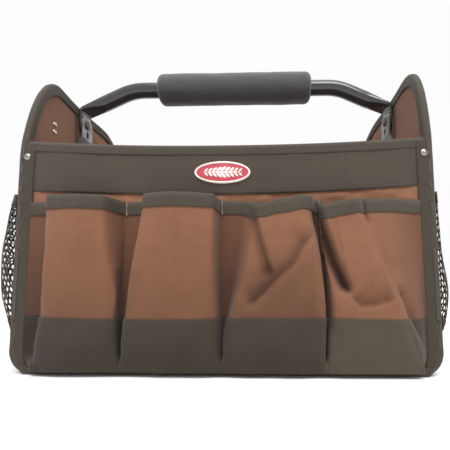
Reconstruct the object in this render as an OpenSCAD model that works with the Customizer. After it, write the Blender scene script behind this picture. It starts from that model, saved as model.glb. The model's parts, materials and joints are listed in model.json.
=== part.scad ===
// Garden tool bag: an open-top fabric tote with stiff end panels, a hinged
// tubular handle with a foam grip, bellows pockets on both long sides and a
// mesh pocket on each end.  Origin: centre of the footprint, on the ground.
// X runs along the bag, Y from front (-) to back (+), Z up.

/* [Bag] */
// Outer length of the bag over the two end panels
bag_w = 426; // [390:1:460]
// Outer depth of the bag over the front and back panels
bag_d = 246; // [220:1:280]
// Height of the long walls
wall_h = 224; // [210:1:235]
// Height at which the end panels start to curve in
shoulder_h = 195; // [170:1:205]
// Height of the peak of the end panels
peak_h = 336; // [328:1:350]
// Squareness of the end panels' arch: 2 is an ellipse
arch_power = 2.35; // [2:0.05:3]
// How far the end panels bow outwards at the middle of their depth
end_bow = 8; // [2:0.5:10]
// Thickness of one layer of fabric
cloth_t = 1.5; // [1:0.1:2]
// Thickness of the stiffener boards in the ends and the base
board_t = 3; // [2:0.5:4]
// Width of the binding tape on one face of the end panels
binding_w = 17; // [12:1:20]
// Height of the top bands on the long walls
band_h = 49; // [40:1:55]

/* [Pockets] */
// Height of the pocket tops above the ground
pocket_top = 166; // [150:1:172]
// Height of the reinforced boots above the ground
boot_top = 56; // [40:1:70]
// Height of the hem tape along the pocket tops
hem_h = 11; // [8:1:14]
// How far the pockets stand out at the top
pocket_out_top = 28; // [20:1:36]
// How far the pockets stand out at the bottom
pocket_out_low = 8; // [6:1:12]
// Distance between the middles of two pockets
pocket_pitch = 97; // [90:1:98]
// Gap between two pockets at the top
pocket_gap_top = 34; // [20:1:40]
// Gap between two pockets at the bottom
pocket_gap_low = 4; // [2:1:8]
// How far the mesh pockets stand out from the ends
mesh_out = 22; // [12:1:26]

/* [Handle] */
// Outer diameter of the handle tube
tube_d = 19; // [16:0.5:22]
// Wall thickness of the handle tube
tube_wall = 1.6; // [1:0.1:2]
// Height of the grip's centre line
grip_z = 350; // [340:1:360]
// Outer diameter of the foam grip
grip_d = 38; // [32:0.5:40]
// Length of the foam grip
grip_len = 202; // [170:1:210]
// Height of the pivot bolts
pivot_z = 303; // [298:1:307]
// Downward slope of the tube between the grip and the ends, in degrees
slope = 24; // [22:1:26]

/* [Hardware] */
// Width of the steel straps inside the end panels
strap_w = 25; // [20:1:28]
// Thickness of the steel straps
strap_t = 2; // [1.5:0.5:2.5]
// Length of the straps below the pivot
strap_drop = 92; // [70:1:100]
// Diameter of the pivot bolts
bolt_d = 6; // [5:1:8]

/* [Hidden] */

fabric_brown = [0.55, 0.38, 0.29];
fabric_olive = [0.30, 0.27, 0.24];
tape_olive = [0.36, 0.33, 0.29];
zinc = [0.75, 0.75, 0.77];
nickel = [0.80, 0.79, 0.76];
gloss_black = [0.06, 0.06, 0.06];

xo = bag_w / 2;                  // outer face of the end panels
yo = bag_d / 2;                  // outer face of the long walls
end_t = 2 * cloth_t + board_t;   // thickness of an end panel
wall_t = 2 * cloth_t;            // thickness of a long wall
xi = xo - end_t;                 // inner face of the end panels
yi = yo - wall_t;                // inner face of the long walls
xc = xo - end_bow;               // outer face of the end panels at the corners
xw = xc - end_t;                 // half length of the long walls
base_t = cloth_t;                // outer base cloth
tape_t = 1.2;                    // thickness of the binding tapes
eps = 0.01;
corner_r = 8;                    // plan radius of the bag's bottom corners
pipe_h = 6;                      // height of the base binding
pipe_out = 3;                    // how far the base binding stands out
arch_n = 48;                     // points along the arch of an end panel

// ---------------------------------------------------------------- end panels

// Outline of an end panel in its own plane: x is the bag's Y, y is the bag's Z.
// inset moves the sides and the arch in; low is the height of the bottom edge.
function arch_z(t, inset) =
  shoulder_h + (peak_h - inset - shoulder_h) * pow(1 - pow(abs(t), arch_power), 1 / arch_power);
// t runs from 1 to -1, with the points closer together where the curve is steep
function arch_t(i) = cos(180 * i / arch_n);
function end_outline(inset, low) = concat(
  [[-(yo - inset), low], [yo - inset, low]],
  [for (i = [0 : arch_n]) [(yo - inset) * arch_t(i), arch_z(arch_t(i), inset)]]);

// Radius of the end panels' outward bow, seen from above
bow_r = (yo * yo + end_bow * end_bow) / (2 * end_bow);
// A wide upright cylinder whose right-hand side is the bowed surface at x
module bow_cylinder(x, h = peak_h + 20)
  translate([xo - bow_r, 0, -1])
    cylinder(r = bow_r - xo + x, h = h + 1, $fn = 256);
// A bowed plate with the end panels' outline, from x0 to x1 at mid-depth
module end_plate(x0, x1, inset, low)
  intersection() {
    translate([xo - 60, 0, 0])
      rotate([90, 0, 90])
        linear_extrude(80) polygon(end_outline(inset, low));
    difference() {
      bow_cylinder(x1);
      bow_cylinder(x0);
    }
  }

// Copies its children to the right-hand end, or mirrors them to the left-hand end
module at_end(side) mirror([side < 0 ? 1 : 0, 0, 0]) children();
// Leaves its children at the front, or turns them round to the back
module at_wall(side) rotate([0, 0, side < 0 ? 0 : 180]) children();

// Clearance holes for the pivot bolt and the strap rivets through an end
strap_rivet_z = [pivot_z - strap_drop + 10, pivot_z - strap_drop + 26];
rivet_d = 4;
module end_holes(x0, x1) {
  for (z = concat([pivot_z], strap_rivet_z))
    translate([x0 - 1, 0, z])
      rotate([0, 90, 0])
        cylinder(h = x1 - x0 + 2, d = (z == pivot_z ? bolt_d : rivet_d) + 0.4, $fn = 48);
}

module end_layer(x0, x1, inset, low)
  difference() {
    end_plate(x0, x1, inset, low);
    end_holes(x0, x1);
  }

module end_panel(side)
  color(fabric_brown)
    at_end(side) end_layer(xo - cloth_t, xo, 0, base_t);
module end_board(side)
  color("dimgray")
    at_end(side) end_layer(xo - cloth_t - board_t, xo - cloth_t, 1, base_t);
module end_lining(side)
  color(fabric_brown)
    at_end(side) end_layer(xi, xi + cloth_t, 0, base_t + board_t + cloth_t);

// Binding tape: round the arch on both faces, down the corners on the outside,
// and across the front and back faces next to the corners
module end_binding(side)
  color(tape_olive)
    at_end(side) {
      // outer leg and the strip over the edge
      difference() {
        end_plate(xi - tape_t, xo + tape_t, -tape_t, pipe_h);
        end_plate(xi, xo, 0, 0);
        end_plate(xi - 5, xo + 5, binding_w, 0);
        // the inner leg is only above the long walls
        bow_cylinder(xi, wall_h + cloth_t);
      }
      // leg across the front and the back of the corner
      for (s = [-1, 1])
        translate([xc - binding_w, s > 0 ? yo : -yo - tape_t, pipe_h])
          cube([binding_w, tape_t, wall_h - pipe_h]);
    }

// ---------------------------------------------------------------- base

// Footprint of the bag: bowed ends, straight sides, corners rounded in plan
module base_outline(grow)
  intersection() {
    union()
      for (a = [0, 1]) {
        square([bag_w + 2 * grow - 2 * a * (end_bow + corner_r),
                bag_d + 2 * grow - 2 * (1 - a) * corner_r], center = true);
        for (sx = [-1, 1], sy = [-1, 1])
          translate([sx * (xc - corner_r), sy * (yo - corner_r)])
            circle(r = corner_r + grow, $fn = 32);
      }
    bowed_ends(grow);
  }
// The area between the two bowed ends, seen from above
module bowed_ends(grow)
  intersection_for(sx = [-1, 1])
    translate([sx * (xo - bow_r), 0])
      circle(r = bow_r + grow, $fn = 256);

module base_panel()
  color(fabric_olive)
    linear_extrude(base_t) base_outline(0);
module base_board()
  color("dimgray")
    translate([-xw, -yi + 0.3, base_t])
      cube([2 * xw, 2 * yi - 0.6, board_t]);
module base_lining()
  color(fabric_brown)
    translate([-xw, -yi + 0.3, base_t + board_t])
      cube([2 * xw, 2 * yi - 0.6, cloth_t]);
module base_binding()
  color(tape_olive)
    difference() {
      linear_extrude(pipe_h) base_outline(pipe_out);
      translate([0, 0, -1]) linear_extrude(base_t + 1) base_outline(0);
      translate([0, 0, base_t])
        intersection() {
          translate([-xo, -yo, 0]) cube([bag_w, bag_d, pipe_h]);
          linear_extrude(pipe_h) bowed_ends(0);
        }
    }

// ---------------------------------------------------------------- long walls

module wall_layer(side, y0, low)
  at_wall(side)
    translate([-xw, y0, low])
      cube([2 * xw, cloth_t, wall_h - low]);
module long_panel(side)
  color(fabric_brown) wall_layer(side, -yo, base_t);
module long_lining(side)
  color(fabric_brown) wall_layer(side, -yo + cloth_t, base_t);

// Folded band over the top edge of a long wall
band_x = xc - binding_w - 0.2;
band_in = 30;                    // how far the band comes down inside
module band(side)
  color(tape_olive)
    at_wall(side)
      difference() {
        translate([-band_x, -yo - cloth_t, wall_h - band_h])
          cube([2 * band_x, wall_t + 2 * cloth_t, band_h + cloth_t]);
        translate([-xo, -yo, wall_h - band_h - 1])
          cube([bag_w, wall_t, band_h + 1]);
        translate([-xo, -yi - eps, 0])
          cube([bag_w, 20, wall_h - band_in]);
      }
band_hem_h = 9;                  // height of the stitched fold
module band_hem(side)
  color(fabric_olive)
    at_wall(side)
      translate([-band_x, -yo - cloth_t - 0.8, wall_h + cloth_t - band_hem_h])
        cube([2 * band_x, 0.8, band_hem_h - 0.5]);

// ---------------------------------------------------------------- bellows pockets

pocket_n = 4;
pocket_low = pipe_h + 1;
pocket_wall = 1.6;

// Face of one pocket, as a trapezium in the wall's plane, shrunk by inset
function pocket_face(inset) = let(
    lo = (pocket_pitch - pocket_gap_low) / 2 - inset,
    hi = (pocket_pitch - pocket_gap_top) / 2 - inset)
  [[-lo, 0], [lo, 0], [hi, pocket_top], [-hi, pocket_top]];
// Section of one pocket: x is the distance out from the wall, y is the height
function pocket_section(inset, low, high) = let(
    grade = (pocket_out_top - pocket_out_low) / (pocket_top - pocket_low),
    out0 = pocket_out_low + grade * (low - pocket_low) - inset,
    out1 = pocket_out_low + grade * (high - pocket_low) - inset)
  [[0, low], [out0, low], [out1, high], [0, high]];

// Wedge of one pocket between two heights, on the wall's outer face
module pocket_wedge(inset, low, high)
  intersection() {
    translate([0, 10, 0])
      rotate([90, 0, 0])
        linear_extrude(80) polygon(pocket_face(inset));
    rotate([90, 0, -90])
      linear_extrude(pocket_pitch + 20, center = true)
        polygon(pocket_section(inset, low, high));
  }

function pocket_x(i) = (i - (pocket_n + 1) / 2) * pocket_pitch;
module at_pocket(side, i)
  at_wall(side) translate([pocket_x(i), -yo, 0]) children();

// Room for the corner tape, where it passes behind the edges of the outer pockets
module corner_tape_room(i)
  for (s = [-1, 1])
    translate([-pocket_x(i) + s * xc, -tape_t / 2, pocket_top / 2])
      cube([2 * binding_w + 0.2, tape_t + 0.2, pocket_top + 4], center = true);

module pocket(side, i)
  color(fabric_brown)
    at_pocket(side, i)
      difference() {
        pocket_wedge(0, pocket_low, pocket_top);
        corner_tape_room(i);
        pocket_wedge(pocket_wall, pocket_low + pocket_wall, pocket_top + 1);
        translate([-pocket_pitch / 2, -0.8, pocket_top - 1])
          cube([pocket_pitch, 1, 5]);
      }

// Reinforced boot round the lower part of each pocket
boot_t = 1;
module pocket_boots(side)
  color(fabric_olive)
    for (i = [1 : pocket_n])
      at_pocket(side, i)
        difference() {
          pocket_wedge(-boot_t, pocket_low, boot_top);
          pocket_wedge(0, pocket_low - 1, boot_top + 1);
          corner_tape_room(i);
        }
// Hem tape round the mouth of each pocket, and across the wall between pockets
module pocket_hems(side)
  color(tape_olive) {
    for (i = [1 : pocket_n])
      at_pocket(side, i)
        difference() {
          pocket_wedge(-boot_t, pocket_top - hem_h, pocket_top);
          pocket_wedge(0, pocket_top - hem_h - 1, pocket_top + 1);
        }
    for (i = [1 : pocket_n - 1])
      at_wall(side)
        translate([pocket_x(i + 0.5) - pocket_gap_top / 2 + 2.4, -yo - boot_t, pocket_top - hem_h])
          cube([pocket_gap_top - 4.8, boot_t, hem_h]);
  }
// Bar tacks that hold the pocket strip to the wall between the pockets
module pocket_bar_tacks()
  color("wheat")
    for (side = [-1, 1], i = [1 : pocket_n - 1])
      at_wall(side)
        translate([pocket_x(i + 0.5) - 0.75, -yo - boot_t - 0.6, pocket_top - hem_h - 1])
          cube([1.5, 0.6, hem_h + 1]);

// ---------------------------------------------------------------- mesh pockets

mesh_low = 48;
mesh_top = 176;
mesh_t = 2;
mesh_half = yo - binding_w - 3;
// Section: out from the end panel, height; bellied below, drawn in at the hem
function mesh_section(inset) = [
  [-end_bow, mesh_low + inset],
  [mesh_out * 0.45 - inset, mesh_low + inset],
  [mesh_out - inset, mesh_low + 26],
  [mesh_out - inset, mesh_low + 62],
  [mesh_out * 0.5 - inset, mesh_top],
  [-end_bow, mesh_top]];
module mesh_block(inset)
  translate([xo, 0, 0])
    rotate([90, 0, 0])
      linear_extrude(2 * (mesh_half - inset), center = true)
        polygon(mesh_section(inset));
module mesh_pocket(side)
  color([0.30, 0.28, 0.26])
    at_end(side)
      difference() {
        mesh_block(0);
        mesh_block(mesh_t);
        bow_cylinder(xo);
      }
// Outer face of the net between its belly and its mouth
function mesh_face(z) =
  mesh_out * (1 - 0.5 * (z - mesh_low - 62) / (mesh_top - mesh_low - 62));
mesh_hem_low = mesh_top - 9;
mesh_hem_t = 1.5;
module mesh_hem(side)
  color(tape_olive)
    at_end(side)
      translate([xo, 0, 0])
        rotate([90, 0, 0])
          linear_extrude(2 * mesh_half, center = true)
            polygon([
              [mesh_face(mesh_hem_low), mesh_hem_low],
              [mesh_face(mesh_hem_low) + mesh_hem_t, mesh_hem_low],
              [mesh_face(mesh_top) + mesh_hem_t, mesh_top],
              [mesh_face(mesh_top), mesh_top]]);

// ---------------------------------------------------------------- badge

badge_w = 54;
badge_h = 21.5;
badge_z = wall_h - band_h / 2 - 5;
badge_y = -yo - cloth_t;
// An oval disc on the front band, from t0 to t1 in front of it
module badge_disc(w, h, t0, t1)
  translate([0, badge_y - t0, badge_z])
    rotate([90, 0, 0])
      linear_extrude(t1 - t0) scale([w / h, 1]) circle(d = h, $fn = 64);
module badge_plate() color([0.62, 0.12, 0.14]) badge_disc(badge_w - 5, badge_h - 4, 0, 1.6);
module badge_rim()
  color([0.93, 0.80, 0.78])
    difference() {
      badge_disc(badge_w, badge_h, 0, 2);
      badge_disc(badge_w - 5, badge_h - 4, -1, 3);
    }
// A sprig: one stem and pairs of leaves, in low relief
module badge_emblem()
  color([0.95, 0.88, 0.86])
    translate([0, badge_y - 1.6, badge_z])
      rotate([90, 0, 0])
        linear_extrude(0.5) {
          square([34, 1.2], center = true);
          for (i = [-3 : 3], s = [-1, 1])
            translate([i * 4.8, s * 2.4])
              rotate(s * 35) scale([2.4, 1]) circle(d = 1.9, $fn = 24);
        }

// ---------------------------------------------------------------- handle

tube_r = tube_d / 2;
tongue_t = 4;                    // thickness of the flattened tube ends
tongue_w = strap_w - 1;          // width of the flattened tube ends
spacer_t = 1.3;                  // nylon spacer between tongue and lining
play = 0.2;                      // gap on each side of the tongue
tongue_x0 = xi - spacer_t - play - tongue_t;
tongue_mid = tongue_x0 + tongue_t / 2;
bend_r = 70;                     // radius of the bends beside the grip
bend_x = grip_len / 2 + 21;      // where the straight part of the tube ends
bend_n = 5;                      // steps round each bend
knee_r = 7;                      // radius of the bend down into the tongue
slope_x = bend_x + bend_r * sin(slope);
slope_z = grip_z - bend_r * (1 - cos(slope));
knee_x = tongue_mid - knee_r * (1 - sin(slope));
function slope_line(x) = slope_z - (x - slope_x) * tan(slope);
press_x = knee_x - 26;           // where the tube starts to be pressed flat

// Stations along the right half of the tube, each
// [x, z, angle down, half thickness, half width, squareness]
round_stations = concat(
  [for (k = [0 : bend_n]) let(a = slope * k / bend_n)
    [bend_x + bend_r * sin(a), grip_z - bend_r * (1 - cos(a)), a, tube_r, tube_r, 1]],
  [[press_x, slope_line(press_x), slope, tube_r, tube_r, 1]]);
press_mid = (press_x + knee_x) / 2;
pressed_stations = concat(
  [[press_mid, slope_line(press_mid), slope, 6.4, 11.2, 0.8]],
  [for (k = [0 : bend_n]) let(a = slope + (90 - slope) * k / bend_n)
    [knee_x + knee_r * (sin(a) - sin(slope)),
     slope_line(knee_x) - knee_r * (cos(slope) - cos(a)),
     a, tongue_t / 2 + 1.2 * (1 - k / bend_n), tongue_w / 2, 0.4]],
  [[tongue_mid, pivot_z, 90, tongue_t / 2, tongue_w / 2, 0.4]],
  [for (a = [15 : 15 : 75])
    [tongue_mid, pivot_z - tongue_w / 2 * sin(a), 90, tongue_t / 2, tongue_w / 2 * cos(a), 0.4]]);

ring_n = 24;                     // points round the tube
function signed_pow(v, e) = sign(v) * pow(abs(v), e);
function ring(s) = [for (k = [0 : ring_n - 1])
  let(u = s[3] * signed_pow(cos(360 * k / ring_n), s[5]),
      v = s[4] * signed_pow(sin(360 * k / ring_n), s[5]))
    [s[0] + u * sin(s[2]), v, s[1] + u * cos(s[2])]];
function reversed(list) = [for (i = [len(list) - 1 : -1 : 0]) list[i]];
function both_halves(list) = concat(
  [for (s = reversed(list)) [-s[0], s[1], -s[2], s[3], s[4], s[5]]], list);

// A closed skin over rings of points
module skin(stations) {
  m = len(stations);
  polyhedron(
    points = [for (s = stations) each ring(s)],
    faces = concat(
      [[for (k = [0 : ring_n - 1]) k]],
      [[for (k = [ring_n - 1 : -1 : 0]) (m - 1) * ring_n + k]],
      [for (i = [0 : m - 2], k = [0 : ring_n - 1]) let(k2 = (k + 1) % ring_n)
        each [[i * ring_n + k, (i + 1) * ring_n + k, (i + 1) * ring_n + k2],
              [i * ring_n + k, (i + 1) * ring_n + k2, i * ring_n + k2]]]));
}
module handle_tube()
  color(gloss_black)
    difference() {
      skin(both_halves(concat(round_stations, pressed_stations)));
      // the hollow of the straight part, with a vent hidden under the grip
      translate([-bend_x + 2, 0, grip_z])
        rotate([0, 90, 0])
          cylinder(r = tube_r - tube_wall, h = 2 * bend_x - 4, $fn = 64);
      translate([1.3, 0.4, grip_z - tube_r - 1])
        cylinder(h = tube_r, d = 3, $fn = 24);
      for (side = [-1, 1])
        at_end(side)
          translate([tongue_x0 - 1, 0, pivot_z])
            rotate([0, 90, 0])
              cylinder(h = tongue_t + 2, d = bolt_d + 0.1, $fn = 64);
    }

grip_round = 8;                  // rounding of the grip's ends
module handle_grip()
  color([0.15, 0.14, 0.14])
    translate([0, 0, grip_z])
      rotate([0, 90, 0])
        rotate_extrude($fn = 96)
          difference() {
            union() {
              translate([0, -grip_len / 2 + grip_round])
                square([grip_d / 2, grip_len - 2 * grip_round]);
              translate([0, -grip_len / 2])
                square([grip_d / 2 - grip_round, grip_len]);
              for (s = [-1, 1])
                translate([grip_d / 2 - grip_round, s * (grip_len / 2 - grip_round)])
                  circle(r = grip_round, $fn = 32);
            }
            translate([-grip_d, -grip_len])
              square([grip_d + tube_r, 2 * grip_len]);
          }

// ---------------------------------------------------------------- hardware

strap_x0 = tongue_x0 - play - strap_t;       // inner face of the raised part
strap_x1 = xi - 0.12;                        // outer face of the lower part, clear of the bow
joggle_z = pivot_z - 20;                     // where the strap steps to the lining
strap_top = pivot_z + 9;                     // cut flat, clear of the bend of the tongue
strap_low = pivot_z - strap_drop;
// Side view of the strap: raised beside the tongue, then stepped to the lining
strap_profile = [
  [strap_x0, strap_top],
  [strap_x0, joggle_z],
  [strap_x1 - strap_t, joggle_z - 8],
  [strap_x1 - strap_t, strap_low],
  [strap_x1, strap_low],
  [strap_x1, joggle_z - 8 + 1],
  [strap_x0 + strap_t, joggle_z + 1],
  [strap_x0 + strap_t, strap_top]];
module strap(side)
  color(zinc)
    at_end(side)
      difference() {
        intersection() {
          translate([0, strap_w / 2, 0])
            rotate([90, 0, 0])
              linear_extrude(strap_w) polygon(strap_profile);
          translate([strap_x0 - 1, 0, 0])
            rotate([90, 0, 90])
              linear_extrude(20) {
                translate([0, pivot_z]) circle(d = strap_w, $fn = 64);
                translate([-strap_w / 2, strap_low])
                  square([strap_w, pivot_z - strap_low]);
              }
        }
        translate([strap_x0 - 1, 0, pivot_z])
          rotate([0, 90, 0]) cylinder(h = 20, d = bolt_d + 0.1, $fn = 48);
        for (z = strap_rivet_z)
          translate([strap_x0 - 1, 0, z])
            rotate([0, 90, 0]) cylinder(h = 20, d = rivet_d + 0.2, $fn = 48);
        // spare slot below the pivot
        for (dz = [-2, 2])
          translate([strap_x0 - 1, 0, pivot_z - 13 + dz])
            rotate([0, 90, 0]) cylinder(h = 5, d = 5, $fn = 32);
        translate([strap_x0 - 1, -2.5, pivot_z - 15])
          cube([5, 5, 4]);
      }

// Plate on the outside of the end panel that spreads the load of the bolt
module backing_plate(side)
  color(zinc)
    at_end(side)
      difference() {
        translate([xo, 0, 0])
          rotate([90, 0, 90])
            linear_extrude(1.5) {
              translate([0, pivot_z]) circle(d = strap_w, $fn = 64);
              translate([-strap_w / 2, strap_low])
                square([strap_w, strap_drop]);
            }
        end_holes(xo, xo + 2);
      }

// A button head, its flat side at x = 0 and its dome towards -X
module button_head(d, h)
  rotate([0, -90, 0])
    rotate_extrude($fn = 48)
      intersection() {
        translate([0, h - d * 0.75]) circle(r = d * 0.75, $fn = 96);
        square([d / 2, h]);
      }
head_d = 11;
washer_t = 1;
nut_h = 5;
stem_x1 = xo + 1.5 + washer_t + nut_h + 1;   // outer end of the bolts
module pivot_bolts()
  color(zinc)
    for (side = [-1, 1])
      at_end(side)
        translate([0, 0, pivot_z]) {
          translate([strap_x0, 0, 0]) button_head(head_d, 3.4);
          translate([strap_x0 - 0.5, 0, 0])
            rotate([0, 90, 0]) cylinder(h = stem_x1 - strap_x0 + 0.5, d = bolt_d, $fn = 64);
        }
module pivot_spacers()
  color("ivory")
    for (side = [-1, 1])
      at_end(side)
        translate([xi - spacer_t - 0.05, 0, pivot_z])
          rotate([0, 90, 0])
            difference() {
              cylinder(h = spacer_t, d = 14, $fn = 48);
              translate([0, 0, -1]) cylinder(h = 4, d = bolt_d + 0.3, $fn = 48);
            }
module pivot_washers()
  color(zinc)
    for (side = [-1, 1])
      at_end(side)
        translate([xo + 1.5, 0, pivot_z])
          rotate([0, 90, 0])
            difference() {
              cylinder(h = washer_t, d = 16, $fn = 48);
              translate([0, 0, -1]) cylinder(h = 4, d = bolt_d + 0.3, $fn = 48);
            }
module pivot_lock_nuts()
  color(nickel)
    for (side = [-1, 1])
      at_end(side)
        translate([xo + 1.5 + washer_t, 0, pivot_z])
          rotate([0, 90, 0])
            difference() {
              cylinder(h = nut_h, d = 11.5, $fn = 6);
              translate([0, 0, -1]) cylinder(h = nut_h + 2, d = bolt_d, $fn = 48);
            }

// Rivets that hold each strap to the end panel and the backing plate
module strap_rivets()
  color(nickel)
    for (side = [-1, 1], z = strap_rivet_z)
      at_end(side)
        translate([0, 0, z]) {
          translate([strap_x1 - strap_t, 0, 0]) button_head(8, 2);
          translate([strap_x1 - strap_t - 0.5, 0, 0])
            rotate([0, 90, 0]) cylinder(h = end_t + strap_t + 2.5, d = rivet_d, $fn = 32);
          translate([xo + 1.5, 0, 0]) mirror([1, 0, 0]) button_head(8, 2);
        }

// Capped rivets through the corner tape at the top of each long wall
corner_rivet_z = wall_h - 12;
module corner_rivets()
  color(nickel)
    for (sx = [-1, 1], sy = [-1, 1])
      translate([sx * (xc - binding_w + 3.2), sy * (yo + tape_t), corner_rivet_z])
        rotate([0, 0, -sy * 90])
          button_head(6.5, 1.8);

// Pair of capped studs on the lining of the left end, square to its bow
stud_y = -66;
stud_z = [264, 273];
inner_r = bow_r - end_t - 0.02;              // radius of the bowed inner face, less a hair
module end_studs()
  color(nickel)
    for (z = stud_z)
      at_end(-1)
        translate([xo - bow_r, 0, z])
          rotate([0, 0, asin(stud_y / inner_r)])
            translate([inner_r, 0, 0]) button_head(5.5, 1.6);

// ---------------------------------------------------------------- parts

base_panel();
base_board();
base_lining();
base_binding();
long_panel(-1);  // front_panel
long_panel(1);  // back_panel
long_lining(-1);  // front_lining
long_lining(1);  // back_lining
end_panel(-1);  // left_end_panel
end_panel(1);  // right_end_panel
end_board(-1);  // left_end_board
end_board(1);  // right_end_board
end_lining(-1);  // left_end_lining
end_lining(1);  // right_end_lining
end_binding(-1);  // left_end_binding
end_binding(1);  // right_end_binding
band(-1);  // front_band
band(1);  // back_band
band_hem(-1);  // front_band_hem
band_hem(1);  // back_band_hem
pocket(-1, 1);  // front_pocket_1
pocket(-1, 2);  // front_pocket_2
pocket(-1, 3);  // front_pocket_3
pocket(-1, 4);  // front_pocket_4
pocket(1, 1);  // back_pocket_1
pocket(1, 2);  // back_pocket_2
pocket(1, 3);  // back_pocket_3
pocket(1, 4);  // back_pocket_4
pocket_boots(-1);  // front_pocket_boots
pocket_boots(1);  // back_pocket_boots
pocket_hems(-1);  // front_pocket_hems
pocket_hems(1);  // back_pocket_hems
pocket_bar_tacks();
mesh_pocket(-1);  // left_mesh_pocket
mesh_pocket(1);  // right_mesh_pocket
mesh_hem(-1);  // left_mesh_hem
mesh_hem(1);  // right_mesh_hem
badge_plate();
badge_rim();
badge_emblem();
handle_tube();
handle_grip();
strap(-1);  // left_handle_strap
strap(1);  // right_handle_strap
backing_plate(-1);  // left_backing_plate
backing_plate(1);  // right_backing_plate
pivot_bolts();
pivot_spacers();
pivot_washers();
pivot_lock_nuts();
strap_rivets();
corner_rivets();
end_studs();
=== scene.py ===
"""Looks of the garden tool bag: cloth, tape, net, foam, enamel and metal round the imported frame."""

import json
import math

import bmesh
import bpy
import numpy as np
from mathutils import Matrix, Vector, noise


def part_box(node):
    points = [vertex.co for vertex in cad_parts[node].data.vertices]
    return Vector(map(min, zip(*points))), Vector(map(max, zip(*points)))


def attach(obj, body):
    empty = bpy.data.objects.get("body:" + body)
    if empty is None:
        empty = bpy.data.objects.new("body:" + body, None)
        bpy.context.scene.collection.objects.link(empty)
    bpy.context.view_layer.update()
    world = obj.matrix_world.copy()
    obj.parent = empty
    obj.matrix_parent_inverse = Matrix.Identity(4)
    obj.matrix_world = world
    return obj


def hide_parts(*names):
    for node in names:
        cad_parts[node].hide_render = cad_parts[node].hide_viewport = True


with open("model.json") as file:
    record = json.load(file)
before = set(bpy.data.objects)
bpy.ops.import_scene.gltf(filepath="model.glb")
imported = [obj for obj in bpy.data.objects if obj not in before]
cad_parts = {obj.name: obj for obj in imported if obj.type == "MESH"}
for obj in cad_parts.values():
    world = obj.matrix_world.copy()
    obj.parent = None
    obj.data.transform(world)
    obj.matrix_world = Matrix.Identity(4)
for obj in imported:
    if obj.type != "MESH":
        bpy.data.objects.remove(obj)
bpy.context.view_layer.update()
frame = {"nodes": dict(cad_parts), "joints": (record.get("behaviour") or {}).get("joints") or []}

MM = 0.001  # the meshes are worked out in millimetres


def box_mm(node):
    """Lowest and highest corner of a CAD node, in millimetres."""
    low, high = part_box(node)
    return np.array(low) / MM, np.array(high) / MM


# Sizes taken from the frame
XO = box_mm("right_end_panel")[1][0]  # outer face of the ends at mid-depth
YO = -box_mm("front_panel")[0][1]  # outer face of the long walls
PEAK = box_mm("right_end_panel")[1][2]
WALL_TOP = box_mm("front_panel")[1][2]
GRIP_LOW, GRIP_HIGH = box_mm("handle_grip")
PIVOT_Z = frame["joints"][0]["pos_m"][2] / MM

# Shape of the ends
SHOULDER = 215
ARCH_SINK = 3  # how far the cloth arch has settled below the stiff one's peak
CREST_SINK = {-1: 12.5, 1: 4.5}  # and how far the flattened crest of each end has
FLANK_POWER = {-1: 0.75, 1: 0.56}  # the larger, the more sloping the flanks of the arch
CREST_SOFT = 3.0
END_T = 6
CLOTH_T = 1.5
CORNER_PINCH = 3.2  # how far the corners stand in from the middle, at the ground
PINCH_SLOPE = 0.05  # and how much more for each millimetre up
FOOT_R = 23  # the ends roll under at the foot
TAPE_W = 17
TAPE_T = 1.2


# ---------------------------------------------------------------- camera and light


def make_camera():
    data = bpy.data.cameras.new("camera")
    data.sensor_width = 36
    data.lens = 26.5
    data.shift_x = -0.069
    data.shift_y = 0.133
    data.clip_start = 0.01
    camera = bpy.data.objects.new("camera", data)
    camera.location = (0.0408, -0.4405, 0.0836)
    camera.rotation_euler = (math.radians(90.57), 0, math.radians(1.55))
    bpy.context.scene.collection.objects.link(camera)
    bpy.context.scene.camera = camera


def area_light(name, place, target, size, watts, colour=(1, 1, 1)):
    data = bpy.data.lights.new(name, "AREA")
    data.shape = "RECTANGLE"
    data.size, data.size_y = size
    data.energy = watts
    data.color = colour
    light = bpy.data.objects.new(name, data)
    light.location = place
    light.rotation_euler = (Vector(target) - Vector(place)).to_track_quat("-Z", "Y").to_euler()
    bpy.context.scene.collection.objects.link(light)


def make_stage():
    world = bpy.data.worlds.new("studio")
    world.use_nodes = True
    world.node_tree.nodes["Background"].inputs["Color"].default_value = (1, 1, 1, 1)
    world.node_tree.nodes["Background"].inputs["Strength"].default_value = 0.98
    bpy.context.scene.world = world
    bpy.context.scene.view_settings.view_transform = "Standard"
    sky = bpy.data.lights.new("sky_panel", "SUN")
    sky.energy = 1.3
    sky.angle = math.radians(40)
    panel = bpy.data.objects.new("sky_panel", sky)
    panel.rotation_euler = (math.radians(24), math.radians(4), 0)
    bpy.context.scene.collection.objects.link(panel)
    area_light("key", (0.1, -1.1, 1.5), (0, 0, 0.15), (1.2, 0.4), 17)
    area_light("back", (0.4, 1.8, 1.3), (0, 0, 0.15), (1.4, 0.8), 6)
    mesh = bpy.data.meshes.new("floor")
    half = 40.0
    corners = [(-half, -half, 0), (half, -half, 0), (half, half, 0), (-half, half, 0)]
    mesh.from_pydata(corners, [], [(0, 1, 2, 3)])
    floor = bpy.data.objects.new("floor", mesh)
    floor.location.z = -0.0004
    bpy.context.scene.collection.objects.link(floor)
    tree = new_material("floor_white", (0.85, 0.85, 0.85), 0.9)
    grain = add_noise(tree, 3.0, 2)
    tint(tree, grain, (0.84, 0.84, 0.84), (0.87, 0.87, 0.87))
    mesh.materials.append(tree["material"])


# ---------------------------------------------------------------- materials


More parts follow.
